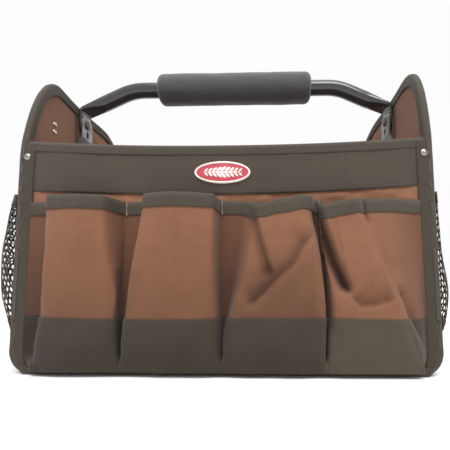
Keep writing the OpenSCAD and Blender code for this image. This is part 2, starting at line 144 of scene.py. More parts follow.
def new_material(name, colour, roughness, metallic=0.0, sheen=0.0, coat=0.0, specular=0.5):
    """A Principled material, as a dict with its nodes, to build on."""
    material = bpy.data.materials.new(name)
    material.use_nodes = True
    tree = material.node_tree
    shader = tree.nodes["Principled BSDF"]
    shader.inputs["Base Color"].default_value = (*colour, 1)
    shader.inputs["Roughness"].default_value = roughness
    shader.inputs["Metallic"].default_value = metallic
    shader.inputs["Sheen Weight"].default_value = sheen
    shader.inputs["Sheen Roughness"].default_value = 0.5
    shader.inputs["Coat Weight"].default_value = coat
    shader.inputs["Coat Roughness"].default_value = 0.08
    shader.inputs["Specular IOR Level"].default_value = specular
    return {"material": material, "tree": tree, "shader": shader}


def add(m, kind, **inputs):
    """A new node, with its inputs set or linked by name."""
    node = m["tree"].nodes.new(kind)
    for name, value in inputs.items():
        connect(m, node, name.replace("_", " "), value)
    return node


def connect(m, node, name, value):
    socket = node.inputs[int(name)] if name.isdigit() else node.inputs[name]
    if isinstance(value, bpy.types.NodeSocket):
        m["tree"].links.new(value, socket)
    else:
        socket.default_value = value


def math_node(m, operation, a, b=0.0, c=0.0):
    node = m["tree"].nodes.new("ShaderNodeMath")
    node.operation = operation
    for i, value in enumerate((a, b, c)):
        connect(m, node, str(i), value)
    return node.outputs[0]


def add_noise(m, scale, detail, vector=None, stretch=None):
    """Noise in object space, scale per metre; stretch multiplies the coordinates."""
    if vector is None:
        vector = m["tree"].nodes.new("ShaderNodeTexCoord").outputs["Object"]
    if stretch:
        vector = add(m, "ShaderNodeMapping", Vector=vector, Scale=stretch).outputs["Vector"]
    node = add(m, "ShaderNodeTexNoise", Vector=vector, Scale=scale, Detail=detail)
    return node.outputs["Fac"]


def mix_colour(m, factor, a, b, blend="MIX"):
    node = m["tree"].nodes.new("ShaderNodeMix")
    node.data_type = "RGBA"
    node.blend_type = blend
    connect(m, node, "0", factor)
    for slot, value in ((6, a), (7, b)):
        if isinstance(value, bpy.types.NodeSocket):
            m["tree"].links.new(value, node.inputs[slot])
        else:
            node.inputs[slot].default_value = (*value, 1)
    return node.outputs[2]


def tint(m, factor, a, b):
    """Base colour that runs from a to b with factor."""
    out = mix_colour(m, factor, a, b)
    m["tree"].links.new(out, m["shader"].inputs["Base Color"])
    return out


def ramp(m, factor, low, high):
    """factor stretched so that low gives 0 and high gives 1."""
    node = add(m, "ShaderNodeMapRange", Value=factor)
    node.inputs["From Min"].default_value = low
    node.inputs["From Max"].default_value = high
    return node.outputs["Result"]


def bump(m, height, distance, strength=1.0, under=None):
    node = add(m, "ShaderNodeBump", Height=height, Distance=distance, Strength=strength)
    if under is not None:
        m["tree"].links.new(under, node.inputs["Normal"])
    return node.outputs["Normal"]


def scaled(colour, k):
    return tuple(min(1.0, c * k) for c in colour)


def woven(name, colour, thread_mm, relief_mm=0.16, fade=0.14, sheen=0.08, rib_mm=0.0, rough=0.86):
    """Woven cloth: threads over and under with painted shade in their valleys, fibre flecks, slow fading, pale worn
    edges, and painted shade read from a per-point attribute.
    """
    m = new_material(name, colour, rough, sheen=sheen, specular=0.25)
    uv = add(m, "ShaderNodeUVMap")
    uv.uv_map = "cloth"
    split = add(m, "ShaderNodeSeparateXYZ", Vector=uv.outputs["UV"])
    turns = math.pi / (thread_mm * MM)
    across = math_node(m, "SINE", math_node(m, "MULTIPLY", split.outputs["X"], turns))
    along = math_node(m, "SINE", math_node(m, "MULTIPLY", split.outputs["Y"], turns))
    weave = math_node(m, "MULTIPLY_ADD", math_node(m, "MULTIPLY", across, along), 0.5, 0.5)
    height = weave
    if rib_mm:
        rib_turns = 2 * math.pi / (rib_mm * MM)
        rib = math_node(m, "SINE", math_node(m, "MULTIPLY", split.outputs["X"], rib_turns))
        height = math_node(m, "MULTIPLY_ADD", rib, 0.8, weave)
    flecks = add_noise(m, 900, 3)
    patches = add_noise(m, 16, 4)
    streaks = add_noise(m, 60, 3, stretch=(1.0, 1.0, 0.25))
    base = mix_colour(m, ramp(m, patches, 0.3, 0.7), scaled(colour, 1 - fade), scaled(colour, 1 + fade))
    base = mix_colour(m, ramp(m, streaks, 0.35, 0.75), base, scaled(colour, 1 + fade * 0.6))
    # painted shade: darker in the weave's valleys
    thread = mix_colour(m, ramp(m, weave, 0.0, 0.8), scaled(colour, 0.62), base)
    thread = mix_colour(m, ramp(m, flecks, 0.62, 0.8), thread, scaled(colour, 1.45))
    # Painted shade: a per-point attribute darkens the cloth where it lies back, in its creases, in the slits and
    # towards the foot
    painted_shade = add(m, "ShaderNodeAttribute")
    painted_shade.attribute_name = "painted_shade"
    shade_colour = mix_colour(m, ramp(m, patches, 0.0, 0.9), (0.27, 0.265, 0.28), (0.36, 0.34, 0.34))
    thread = mix_colour(m, painted_shade.outputs["Fac"], thread, mix_colour(m, 1.0, thread, shade_colour, "MULTIPLY"))
    wear = add(m, "ShaderNodeAttribute")
    wear.attribute_name = "wear"
    worn = math_node(m, "MULTIPLY", wear.outputs["Fac"], ramp(m, flecks, 0.3, 0.62))
    pale = tuple(c * 0.55 + 0.22 for c in colour)
    finished = mix_colour(m, math_node(m, "MULTIPLY", worn, 0.75), thread, pale)
    m["tree"].links.new(finished, m["shader"].inputs["Base Color"])
    fine = bump(m, height, relief_mm * MM)
    coarse = bump(m, patches, 1.2 * MM, 0.35, under=fine)
    m["tree"].links.new(coarse, m["shader"].inputs["Normal"])
    return m["material"]


def enamel(name, colour):
    """Gloss enamel with faint orange peel and small scuffs."""
    m = new_material(name, colour, 0.16, coat=0.25, specular=0.4)
    peel = add_noise(m, 420, 2)
    scuffs = add_noise(m, 90, 6, stretch=(0.3, 1, 1))
    tint(m, ramp(m, scuffs, 0.62, 0.8), colour, scaled((0.06, 0.058, 0.058), 1))
    rough = math_node(m, "MULTIPLY_ADD", ramp(m, scuffs, 0.55, 0.8), 0.3, 0.1)
    m["tree"].links.new(rough, m["shader"].inputs["Roughness"])
    m["tree"].links.new(bump(m, peel, 0.05 * MM), m["shader"].inputs["Normal"])
    return m["material"]


def foam(name, colour):
    """Closed-cell foam: fine pores, dull, with rubbed patches."""
    m = new_material(name, colour, 0.82, sheen=0.35, specular=0.3)
    pores = add(m, "ShaderNodeTexVoronoi", Scale=1100.0)
    pores_vector = m["tree"].nodes.new("ShaderNodeTexCoord")
    m["tree"].links.new(pores_vector.outputs["Object"], pores.inputs["Vector"])
    rubbed = add_noise(m, 28, 4)
    base = mix_colour(m, ramp(m, rubbed, 0.35, 0.7), scaled(colour, 0.82), scaled(colour, 1.3))
    dark = mix_colour(m, ramp(m, pores.outputs["Distance"], 0.05, 0.5), base, scaled(colour, 1.25))
    m["tree"].links.new(dark, m["shader"].inputs["Base Color"])
    fine = bump(m, pores.outputs["Distance"], 0.18 * MM)
    m["tree"].links.new(bump(m, rubbed, 0.8 * MM, 0.4, under=fine), m["shader"].inputs["Normal"])
    return m["material"]


def metal(name, colour, rough, grain=(1, 1, 0.06), dull=0.25):
    """Plated steel with drawn grain and cloudy dull spots."""
    m = new_material(name, colour, rough, metallic=1.0)
    lines = add_noise(m, 1400, 2, stretch=grain)
    clouds = add_noise(m, 70, 5)
    tint(m, ramp(m, clouds, 0.35, 0.7), scaled(colour, 0.8), colour)
    share = math_node(m, "MULTIPLY_ADD", ramp(m, clouds, 0.4, 0.75), dull, rough)
    m["tree"].links.new(share, m["shader"].inputs["Roughness"])
    m["tree"].links.new(bump(m, lines, 0.04 * MM), m["shader"].inputs["Normal"])
    return m["material"]


def plastic(name, colour, rough, coat=0.0, grain_mm=0.05, speckle=0.12):
    """Moulded plastic with a fine grain."""
    m = new_material(name, colour, rough, coat=coat)
    grain = add_noise(m, 1500, 2)
    clouds = add_noise(m, 120, 4)
    tint(m, ramp(m, clouds, 0.3, 0.7), scaled(colour, 1 - speckle), scaled(colour, 1 + speckle))
    m["tree"].links.new(bump(m, grain, grain_mm * MM), m["shader"].inputs["Normal"])
    return m["material"]


BROWN = (0.214, 0.095, 0.051)
LINING = (0.225, 0.103, 0.056)
OLIVE = (0.071, 0.0545, 0.0377)
BAND = (0.0615, 0.048, 0.0356)
TAPE = (0.0495, 0.0395, 0.0290)
HEM = (0.058, 0.047, 0.0345)
MESH = (0.045, 0.036, 0.026)
THREAD = (0.074, 0.059, 0.044)
PALE = (0.36, 0.27, 0.19)

make_camera()
make_stage()

MATERIALS = {
    "brown_canvas": woven("brown_canvas", BROWN, 0.9),
    "brown_lining": woven("brown_lining", LINING, 0.7, relief_mm=0.1, fade=0.1),
    "olive_canvas": woven("olive_canvas", OLIVE, 1.0, relief_mm=0.2, fade=0.12),
    "olive_webbing": woven("olive_webbing", BAND, 1.0, relief_mm=0.16, fade=0.1, rib_mm=3.2),
    "olive_tape": woven("olive_tape", TAPE, 0.8, relief_mm=0.14, fade=0.1),
    "olive_hem": woven("olive_hem", HEM, 0.8, relief_mm=0.14, fade=0.1),
    "mesh": woven("mesh", MESH, 0.6, relief_mm=0.1, fade=0.1),
    "thread": woven("thread", THREAD, 0.25, relief_mm=0.05, fade=0.1),
    "pale_thread": woven("pale_thread", PALE, 0.25, relief_mm=0.05, fade=0.1),
    "black_enamel": enamel("black_enamel", (0.036, 0.033, 0.035)),
    "foam_grip": foam("foam_grip", (0.044, 0.040, 0.041)),
    "zinc_steel": metal("zinc_steel", (0.18, 0.168, 0.168), 0.42),
    "nickel": metal("nickel", (0.66, 0.63, 0.59), 0.2, dull=0.15),
    "nylon": plastic("nylon", (0.80, 0.78, 0.70), 0.45),
    "stiffener_board": plastic("stiffener_board", (0.035, 0.035, 0.036), 0.6, grain_mm=0.15),
    "badge_red": plastic("badge_red", (0.40, 0.035, 0.05), 0.22, coat=0.5),
    "dark_nickel": metal("dark_nickel", (0.30, 0.28, 0.26), 0.22, dull=0.15),
    "badge_pale": plastic("badge_pale", (0.85, 0.70, 0.67), 0.25, coat=0.5, speckle=0.04),
}


# ---------------------------------------------------------------- mesh building


def set_uv(mesh, uv):
    """A 'cloth' UV map in metres, from one pair for each vertex."""
    layer = mesh.uv_layers.new(name="cloth")
    index = np.zeros(len(mesh.loops), np.int32)
    mesh.loops.foreach_get("vertex_index", index)
    layer.data.foreach_set("uv", (np.asarray(uv, float)[index] * MM).astype(np.float32).ravel())


def new_piece(name, points, faces, material, uv=None, slot=None, body="bag", smooth=True):
    """A mesh object from points in millimetres, with outward normals, riding on its body."""
    mesh = bpy.data.meshes.new(name)
    mesh.from_pydata((np.asarray(points, float) * MM).tolist(), [], [list(map(int, f)) for f in faces])
    work = bmesh.new()
    work.from_mesh(mesh)
    bmesh.ops.recalc_face_normals(work, faces=work.faces)
    work.to_mesh(mesh)
    work.free()
    mesh.polygons.foreach_set("use_smooth", [smooth] * len(mesh.polygons))
    if uv is not None:
        set_uv(mesh, uv)
    piece = bpy.data.objects.new(name, mesh)
    mesh.materials.append(MATERIALS[material])
    bpy.context.scene.collection.objects.link(piece)
    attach(piece, body)
    return piece


def set_wear(piece, values, name="wear"):
    """How worn each point is, or how much painted shade it takes, from 0 to 1, for the cloth materials."""
    values = np.asarray(values, np.float32).ravel()
    if len(values) < len(piece.data.vertices):
        values = np.concatenate([values, np.zeros(len(piece.data.vertices) - len(values), np.float32)])
    layer = piece.data.attributes.new(name, "FLOAT", "POINT")
    layer.data.foreach_set("value", values)


def slopes(grid, wrap):
    """The grid's steps along its two directions."""
    if wrap:
        along = np.roll(grid, -1, 0) - np.roll(grid, 1, 0)
    else:
        along = np.gradient(grid, axis=0)
    return along, np.gradient(grid, axis=1)


def normals_of(grid, wrap=False):
    along, across = slopes(grid, wrap)
    n = np.cross(along, across)
    return n / np.maximum(np.linalg.norm(n, axis=2, keepdims=True), 1e-9)


def lengths(grid):
    """Distance along the grid from its first row and column, as two arrays like the grid."""
    u = np.linalg.norm(np.diff(grid, axis=0), axis=2)
    v = np.linalg.norm(np.diff(grid, axis=1), axis=2)
    u = np.concatenate([np.zeros((1, grid.shape[1])), np.cumsum(u, 0)])
    v = np.concatenate([np.zeros((grid.shape[0], 1)), np.cumsum(v, 1)], axis=1)
    middle = u[:, grid.shape[1] // 2]
    return np.repeat(middle[:, None], grid.shape[1], axis=1), v


def quads(index):
    """Faces between the points of a two-dimensional array of indices."""
    corners = (index[:-1, :-1], index[1:, :-1], index[1:, 1:], index[:-1, 1:])
    return np.stack([c.ravel() for c in corners], axis=1)


def closed_sheet(name, outer, inner, material, wrap=False, uv=None, **options):
    """A thin closed solid between two grids of the same size; wrap joins its two ends."""
    n, k = outer.shape[:2]
    front = np.arange(n * k).reshape(n, k)
    back = front + n * k
    if wrap:
        front_closed = np.concatenate([front, front[:1]])
        back_closed = np.concatenate([back, back[:1]])
    else:
        front_closed, back_closed = front, back
    faces = [quads(front_closed), quads(back_closed)[:, ::-1]]
    rims = [(front_closed[:, 0], back_closed[:, 0]), (front_closed[:, -1], back_closed[:, -1])]
    if not wrap:
        rims += [(front[0], back[0]), (front[-1], back[-1])]
    faces += [quads(np.stack(r, axis=1)) for r in rims]
    if uv is None:
        uv = np.stack(lengths(outer), axis=2)
    uv = np.concatenate([uv.reshape(-1, 2), uv.reshape(-1, 2)])
    points = np.concatenate([outer.reshape(-1, 3), inner.reshape(-1, 3)])
    return new_piece(name, points, np.concatenate(faces), material, uv=uv, **options)


def cloth(name, grid, thickness, material, wrap=False, **options):
    """Cloth of one thickness, with the grid as its outer face. A minus sign puts it on the other side."""
    inner = grid - normals_of(grid, wrap) * thickness
    return closed_sheet(name, grid, inner, material, wrap=wrap, **options)


def ripple(a, b, size, amount, seed):
    """Smooth unevenness over two arrays of positions, of that size and amount in millimetres."""
    a, b = np.broadcast_arrays(np.asarray(a, float), np.asarray(b, float))
    flat = [noise.noise(Vector((p / size, q / size, seed))) for p, q in zip(a.ravel(), b.ravel())]
    return np.array(flat).reshape(a.shape) * amount


def smoothstep(value, low, high):
    t = np.clip((np.asarray(value, float) - low) / (high - low), 0, 1)
    return t * t * (3 - 2 * t)


def spline(controls, per_span):
    """Points of a quadratic B-spline through the ends of its controls (first axis)."""
    c = np.concatenate([2 * controls[:1] - controls[1:2], controls, 2 * controls[-1:] - controls[-2:-1]])
    c[0], c[-1] = controls[0], controls[-1]
    out = []
    for i in range(len(c) - 2):
        last = i == len(c) - 3
        for t in np.linspace(0, 1, per_span + 1)[: per_span + last]:
            w = (0.5 * (1 - t) ** 2, 0.5 + t * (1 - t), 0.5 * t * t)
            out.append(w[0] * c[i] + w[1] * c[i + 1] + w[2] * c[i + 2])
    out[0], out[-1] = controls[0], controls[-1]
    return np.array(out)


def stitches(name, path, normals, material="thread", stitch=2.6, gap=1.3, width=0.55, lift=0.3, **options):
    """A row of stitches along a path of points in millimetres, standing on its normals."""
    step = np.linalg.norm(np.diff(path, axis=0), axis=1)
    along = np.concatenate([[0], np.cumsum(step)])
    count = max(1, int(along[-1] / (stitch + gap)))
    points, faces = [], []

    def at(s):
        place = np.array([np.interp(s, along, path[:, k]) for k in range(3)])
        normal = np.array([np.interp(s, along, normals[:, k]) for k in range(3)])
        return place, normal / max(np.linalg.norm(normal), 1e-9)

    for i in range(count):
        start = (i + 0.5) * along[-1] / count - stitch / 2
        rings = []
        for share, size in ((0.0, 0.35), (0.25, 1.0), (0.75, 1.0), (1.0, 0.35)):
            place, normal = at(start + share * stitch)
            ahead, _ = at(start + share * stitch + 0.4)
            back, _ = at(start + share * stitch - 0.4)
            side = np.cross(ahead - back, normal)
            side = side / max(np.linalg.norm(side), 1e-9) * width / 2
            crown = normal * lift * size
            rings.append([place - side * size, place + crown, place + side * size, place - normal * 0.3])
        first = len(points)
        points += [p for ring in rings for p in ring]
        for r in range(3):
            for k in range(4):
                a, b = first + 4 * r + k, first + 4 * r + (k + 1) % 4
                faces.append((a, b, b + 4, a + 4))
        faces += [tuple(first + k for k in range(4)), tuple(first + 12 + k for k in range(4))]
    uv = np.array(points)[:, :2]
    return new_piece(name, points, faces, material, uv=uv, slot="olive_tape", **options)


def join(name, pieces):
    """Several pieces as one, under a new name."""
    work = bmesh.new()
    for piece in pieces:
        work.from_mesh(piece.data)
    target = pieces[0]
    work.to_mesh(target.data)
    work.free()
    for piece in pieces[1:]:
        bpy.data.objects.remove(piece)
    target.name = name
    target.data.name = name
    return target


def put(grid, side):
    """The grid on its own side: side 1 leaves it, -1 turns it round the bag's upright axis."""
    return grid * np.array([side, side, 1.0])


def at_end(grid, side):
    """A grid worked out for the right-hand end, or its mirror image on the left."""
    return grid * np.array([side, 1.0, 1.0])


# ---------------------------------------------------------------- ends


def end_x(y, z):
    """Outer face of the right-hand end: bowed, pinched in at its corners, rolled under at its foot."""
    y, z = np.broadcast_arrays(np.asarray(y, float), np.asarray(z, float))
    pinch = CORNER_PINCH + PINCH_SLOPE * z
    under = np.clip(FOOT_R - z, 0, FOOT_R)
    roll = FOOT_R - np.sqrt(FOOT_R**2 - under**2)
    return XO - pinch * (y / YO) ** 2 - roll


def arch_z(y, side, inset=0.0):
    """Height of the end's edge above its shoulder."""
    t = np.clip(np.abs(y) / (YO - inset), 0, 1)
    rise = PEAK - ARCH_SINK - inset - SHOULDER
    dome = SHOULDER + rise * (1 - t**3) ** FLANK_POWER[side]
    crest = PEAK - CREST_SINK[side] - inset
    return crest - CREST_SOFT * np.log1p(np.exp((crest - dome) / CREST_SOFT))


def end_grid(depth, inset, low, side, columns=72, rows=84, uneven=0.5):
    """One face of an end layer, depth millimetres in from the outer face."""
    y = (YO - inset) * np.sin(np.linspace(-math.pi / 2, math.pi / 2, columns))
    share = np.linspace(0, 1, rows)
    z = low + (arch_z(y, side, inset)[:, None] - low) * share[None, :]
    y = np.repeat(y[:, None], rows, axis=1)
    x = end_x(y, z) - depth + ripple(y, z, 55, uneven, side * 3.0)
    return np.stack([x, y, z], axis=2)


def make_end(side, word):
    layers = (
        ("panel", "brown_canvas", 0.0, CLOTH_T, 0.9, 0.3),
        ("board", "stiffener_board", CLOTH_T, 4.5, 1.6, 2.0),
        ("lining", "brown_lining", 4.5, END_T, 0.9, 6.2),
    )
    for part, material, outer, inner, inset, low in layers:
        faces = [end_grid(d, inset, low, side) for d in (outer, inner)]
        if part == "lining":
            faces[1][..., 0] -= lining_folds(faces[1], side)
        grids = [at_end(g, side) for g in faces]
        node = f"{word}_end_{part}"
        uv = grids[0][..., 1:]
        piece = closed_sheet(node + "_cloth", grids[0], grids[1], material, uv=uv)
        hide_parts(node)
    end_seam(side, word)


def lining_folds(grid, side):
    """Soft puckers of the lining behind the strap and along the arch."""
    y, z = grid[..., 1], grid[..., 2]
    near = smoothstep(y, 14, 30) * smoothstep(z, 205, 235) * smoothstep(arch_z(y, side) - z, 15, 24)
    near = near * (1 - smoothstep(y, 85, 105))
    folds = np.sin((y * 0.9 + z * 0.55) / 4.2) * 0.9 + ripple(y, z, 13, 1.8, side * 7.0)
    return near * (0.9 + folds) * 0.8


def end_seam(side, word):
    """A dark olive strip down the lining, on the front side of the strap."""
    z = np.linspace(216, 318, 60)
    y = np.linspace(-17.5, -13.2, 5)
    yy, zz = np.meshgrid(y, z)
    lift = 0.3 * np.sin(np.linspace(0, math.pi, 5))[None, :]
    x = end_x(yy, zz) - END_T - 0.1 - lift
    grid = at_end(np.stack([x, yy, zz], axis=2), side)
    cloth(f"{word}_strap_dark_strip", grid, -0.5 * side, "olive_canvas")


def binding_path(side):
    """(y, z) up the front edge of an end, over the arch and down the back edge."""
    foot = FOOT_R * (1 - np.cos(np.linspace(0.32, math.pi / 2, 10)))
    rise = np.concatenate([foot, np.linspace(FOOT_R, SHOULDER, 64)[1:]])
    angles = np.linspace(-math.pi / 2, math.pi / 2, 400)[1:-1]
    y = YO * np.sin(angles)
    front = np.stack([np.full(len(rise), -YO), rise], axis=1)
    arch = np.stack([y, arch_z(y, side)], axis=1)
    back = front[::-1] * np.array([-1, 1])
    path = np.concatenate([front, arch, back])
    along = np.concatenate([[0], np.cumsum(np.linalg.norm(np.diff(path, axis=0), axis=1))])
    even = np.linspace(0, along[-1], int(along[-1] / 2.6))
    return np.stack([np.interp(even, along, path[:, k]) for k in (0, 1)], axis=1)


LEG_TURN = (WALL_TOP - 1, WALL_TOP + 9)  # heights between which the inner leg turns inwards
CORNER_R = 2.0
INNER_W = (5.5, 12.5)  # width of the leg on the lining, at the flanks and at the peak


def binding_grid(side):
    """Outer face of the tape round the right-hand end, path by profile."""
    path = binding_path(side)
    tangent = np.gradient(path, axis=0)
    tangent /= np.linalg.norm(tangent, axis=1, keepdims=True)
    rows = []
    for (y, z), (ty, tz) in zip(path, tangent):
        n = np.array([0, tz, -ty])
        if z < SHOULDER:
            n = np.array([0, -math.copysign(1, y), 0])
        edge = np.array([float(end_x(y, z)), y, z])
        inwards = np.array([-1.0, 0, 0])
        if z < FOOT_R:
            rise = math.asin(1 - z / FOOT_R)
            inwards = np.array([-math.cos(rise), 0, math.sin(rise)])
        turned = float(smoothstep(z, *LEG_TURN))
        turn = turned * math.pi / 2
        waver = noise.noise(Vector((y / 26, z / 26, 2.0)))
        width = TAPE_W + 0.8 * waver
        points = []
        for w in np.linspace(width, CORNER_R, 6):
            at = edge + n * w
            points.append([float(end_x(at[1], max(at[2], 0))) + TAPE_T, at[1], at[2]])
        for a in np.linspace(0, math.pi / 2, 5)[1:]:
            out = (CORNER_R + TAPE_T) * math.cos(a) - CORNER_R
            down = (CORNER_R + TAPE_T) * math.sin(a) - CORNER_R
            points.append(edge - inwards * out - n * down)
        far = END_T - CORNER_R
        for a in np.linspace(0, turn, 6):
            out = far + (CORNER_R + TAPE_T) * math.sin(a)
            down = (CORNER_R + TAPE_T) * math.cos(a) - CORNER_R
            points.append(edge + inwards * out - n * down)
        leg = inwards * math.cos(turn) + n * math.sin(turn)
        inner_w = INNER_W[0] + (INNER_W[1] - INNER_W[0]) * float(smoothstep(z, 285, 328))
        length = (width - END_T) * (1 - turned) + (inner_w - CORNER_R) * turned
        length *= 1 - 2.6 * turned * (1 - turned)
        last = points[-1]
        for w in np.linspace(0, length, 7)[1:]:
            points.append(last + leg * w)
        rows.append(points)
    grid = np.array(rows, float)
    # no swelling beside the handle's tongue, which turns close to the tape
    swell = ripple(grid[..., 1] + grid[..., 0], grid[..., 2], 14, 0.21, 5.0)
    swell *= smoothstep(np.abs(grid[..., 1]), 25, 45)
    return grid + normals_of(grid) * swell[..., None]


def make_binding(side, word):
    grid = binding_grid(side)
    placed = at_end(grid, side)
    piece = cloth(f"{word}_end_tape", placed, TAPE_T * side, "olive_tape")
    wear = np.zeros(grid.shape[:2])
    wear[:, 6:13] = 0.08
    set_wear(piece, np.concatenate([wear.ravel(), wear.ravel() * 0]))
    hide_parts(f"{word}_end_binding")
    normals = normals_of(placed) * side
    rows = []
    for column in (1, -2):
        rows.append(stitches(f"{word}_tape_seam_{column}", placed[:, column], normals[:, column]))
    join(f"{word}_tape_seams", rows)
    return piece


for side, word in ((-1, "left"), (1, "right")):
    make_end(side, word)
    make_binding(side, word)


# ---------------------------------------------------------------- long walls and bands


def band_top(x):
    """Height of the band's upper edge, which sags between the ends."""
    return 221 + np.where(x < 0, 6.3, 5.5) * (np.abs(x) / 190) ** 2.2


def band_low(x):
    return 174 + np.where(x < 0, 4.6, 7.2) * (np.abs(x) / 190) ** 2


def wall_grid(y0, top_gap, folds, columns=110, rows=90):
    """One face of the front wall at depth y0, slack and wrinkled below the band."""
    share = np.linspace(-1, 1, columns)
    up = np.linspace(0, 1, rows)
    top = band_top(share * 193) - top_gap - 7 * smoothstep(np.abs(share), 0.94, 0.965)
    z = 2.2 + (top[:, None] - 2.2) * up[None, :]
    half = end_x(YO, z) - END_T - 0.2
    x = share[:, None] * half
    low = band_low(x)
    slack = smoothstep(z, 157, 169) * (1 - smoothstep(z, low - 6, low + 0.5)) * (1 - smoothstep(np.abs(x), 176, 184))
    crease = np.sin(x / 8.5 + 0.16 * (z - 160) + 2.2 * np.sin(x / 31.0)) * 1.1 + ripple(x, z, 9, 3.6, 9.0)
    y = y0 - folds * slack * np.maximum(0.5 + crease, -0.1)
    return np.stack([x, y, z], axis=2)


BAND_X = 190.0
BAND_T = 1.4


def band_profile(x, lift, front_low, back_low):
    """Outer face of a fold over the wall's top edge at x, from the front leg's foot to the back leg's."""
    top = float(band_top(x)) + lift
    tuck = float(smoothstep(abs(x), 174, 184)) * 1.25
    front = -YO - BAND_T - 0.1 - lift + tuck
    back = -YO + 2 * CLOTH_T + BAND_T + lift - tuck * 0.6
    radius = (back - front) / 2
    middle = (back + front) / 2
    rows = [(front, z) for z in np.linspace(front_low, top - radius, 24)]
    for a in np.linspace(0, math.pi, 9)[1:-1]:
        rows.append((middle - radius * math.cos(a), top - radius + radius * math.sin(a)))
    rows += [(back, z) for z in np.linspace(top - radius, back_low, 14)]
    return [(x, y, z) for y, z in rows]


def make_wall(side, word):
    outer = put(wall_grid(-YO + 0.2, 1.6, 1.0), side)
    inner = put(wall_grid(-YO + CLOTH_T, 1.6, 1.0), side)
    panel = closed_sheet(f"{word}_wall_cloth", outer, inner, "brown_canvas")
    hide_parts(f"{word}_panel")
    faces = [put(wall_grid(-YO + d, 1.6, 0.3), side) for d in (CLOTH_T + 0.1, 2 * CLOTH_T)]
    lining = closed_sheet(f"{word}_wall_lining", faces[0], faces[1], "brown_lining")
    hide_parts(f"{word}_lining")

    xs = np.linspace(-BAND_X, BAND_X, 160)
    band = np.array([band_profile(x, 0.0, float(band_low(x)), WALL_TOP - 30) for x in xs])
    wave = ripple(band[..., 0], band[..., 2], 34, 0.7, 11.0)
    flat = smoothstep(np.abs(band[..., 0]), 34, 60)
    band[..., 1] -= wave * flat * (band[..., 1] < -YO)
    placed = put(band, side)
    piece = cloth(f"{word}_band_webbing", placed, BAND_T, "olive_webbing")
    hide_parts(f"{word}_band")
    hem = np.array([band_profile(x, 0.75, float(band_top(x)) - 9.3, float(band_top(x)) - 10) for x in xs])
    hem[..., 1] -= ripple(hem[..., 0], hem[..., 2], 18, 0.35, 12.0) * (hem[..., 1] < -YO)
    hem_piece = cloth(f"{word}_band_fold", put(hem, side), 0.75, "olive_hem")
    worn = np.zeros(hem.shape[:2])
    worn[:, 22:34] = 0.12
    set_wear(hem_piece, np.concatenate([worn.ravel(), worn.ravel() * 0]))
    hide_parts(f"{word}_band_hem")
    out = np.tile(put(np.array([0, -1.0, 0]), side), (len(xs), 1))
    seams = []
    for lift, gap in ((0.78, 7.6), (0.78, 2.4)):
        line = np.stack([xs, np.full(len(xs), -YO - BAND_T - lift), band_top(xs) - gap], axis=1)
        seams.append(stitches(f"{word}_fold_seam_{gap}", put(line, side), out))
    for gap in (2.0, 5.0):
        line = np.stack([xs, band[:, 0, 1] - 0.02, band_low(xs) + gap], axis=1)
        seams.append(stitches(f"{word}_band_seam_{gap}", put(line, side), out))
    seam = join(f"{word}_band_seams", seams)


for side, word in ((1, "front"), (-1, "back")):
    make_wall(side, word)


# ---------------------------------------------------------------- bellows pockets

POCKET_T = 1.4
STRIP_LOW = 8.0
KEYS = (5, 30, 56, 80, 112, 150, 166)  # heights at which a pocket's edges are given
HEM_H = 11.5
BOOT_TOP = 56.0
BOOT_LOW = 4.5
PER_SPAN = 6


def pocket(left, right, out, top=(166, 166), crown=2.5, flanks=(3.0, 3.0)):
    """Edges and standing-out of one pocket at each of KEYS, and the heights of its mouth's ends."""
    return {"left": left, "right": right, "out": out, "top": top, "crown": crown, "flanks": flanks}


FULL_OUT = (8, 14, 18, 21, 24, 26, 26)
FRONT = {
    # how much more (plus) or less (minus) painted shade each pocket takes towards its foot
    "tones": (0.0, 0.0, 0.26, -0.4),
    "dividers": ((-193, -193), (-97, -92), (0, 0), (98, 92), (193, 193)),
    "pockets": (
        pocket(
            (-178, -176, -169, -165, -161, -158, -157),
            (-99, -99, -98, -94, -103, -104, -103.5),
            FULL_OUT,
            flanks=(3, 8),
        ),
        pocket(
            (-94, -93, -88, -85.5, -78.5, -71, -68.5),
            (-3, -4, -3.5, -5, -6, -5, -4.5),
            FULL_OUT,
            top=(167, 167),
            flanks=(5, 3),
        ),
        pocket(
            (2, 3, 8, 16, 25, 31, 33),
            (95, 96, 97, 94, 91, 84, 82),
            (8, 14, 18, 21, 22, 21, 20),
            top=(159, 166),
            flanks=((3, 3, 3, 7, 12, 13, 13), 4),
        ),
        pocket(
            (100, 101, 104, 101, 95, 90, 89),
            (188, 178, 167, 160, 146, 133, 128),
            (8, 14, 18, 20, 21, 19, 17),
            top=(158, 163),
            crown=1.0,
            flanks=(4, 4),
        ),
    ),
    # line of the crease, its depth, and how far it reaches on the side that lies on the left of the
    # line's direction and on the other side
    "creases": (
        (((29, 157), (37, 126), (48, 93)), 6.0, 1.8, 10.0),
        (((87, 136), (74, 121), (67, 106), (50, 91), (40, 80), (22, 64)), 6.5, 2.6, 13.0),
        (((86, 163), (92, 142), (105, 106), (119, 77)), 15.0, 2.4, 6.5),
        (((119, 77), (127, 68), (142, 69), (157, 74)), 5.5, 17.0, 2.6),
        (((128, 168), (131, 150), (134, 142)), 3.5, 2.5, 2.5),
        (((160, 88), (170, 62), (180, 45), (191, 26)), 5.0, 9.0, 2.2),
    ),
}
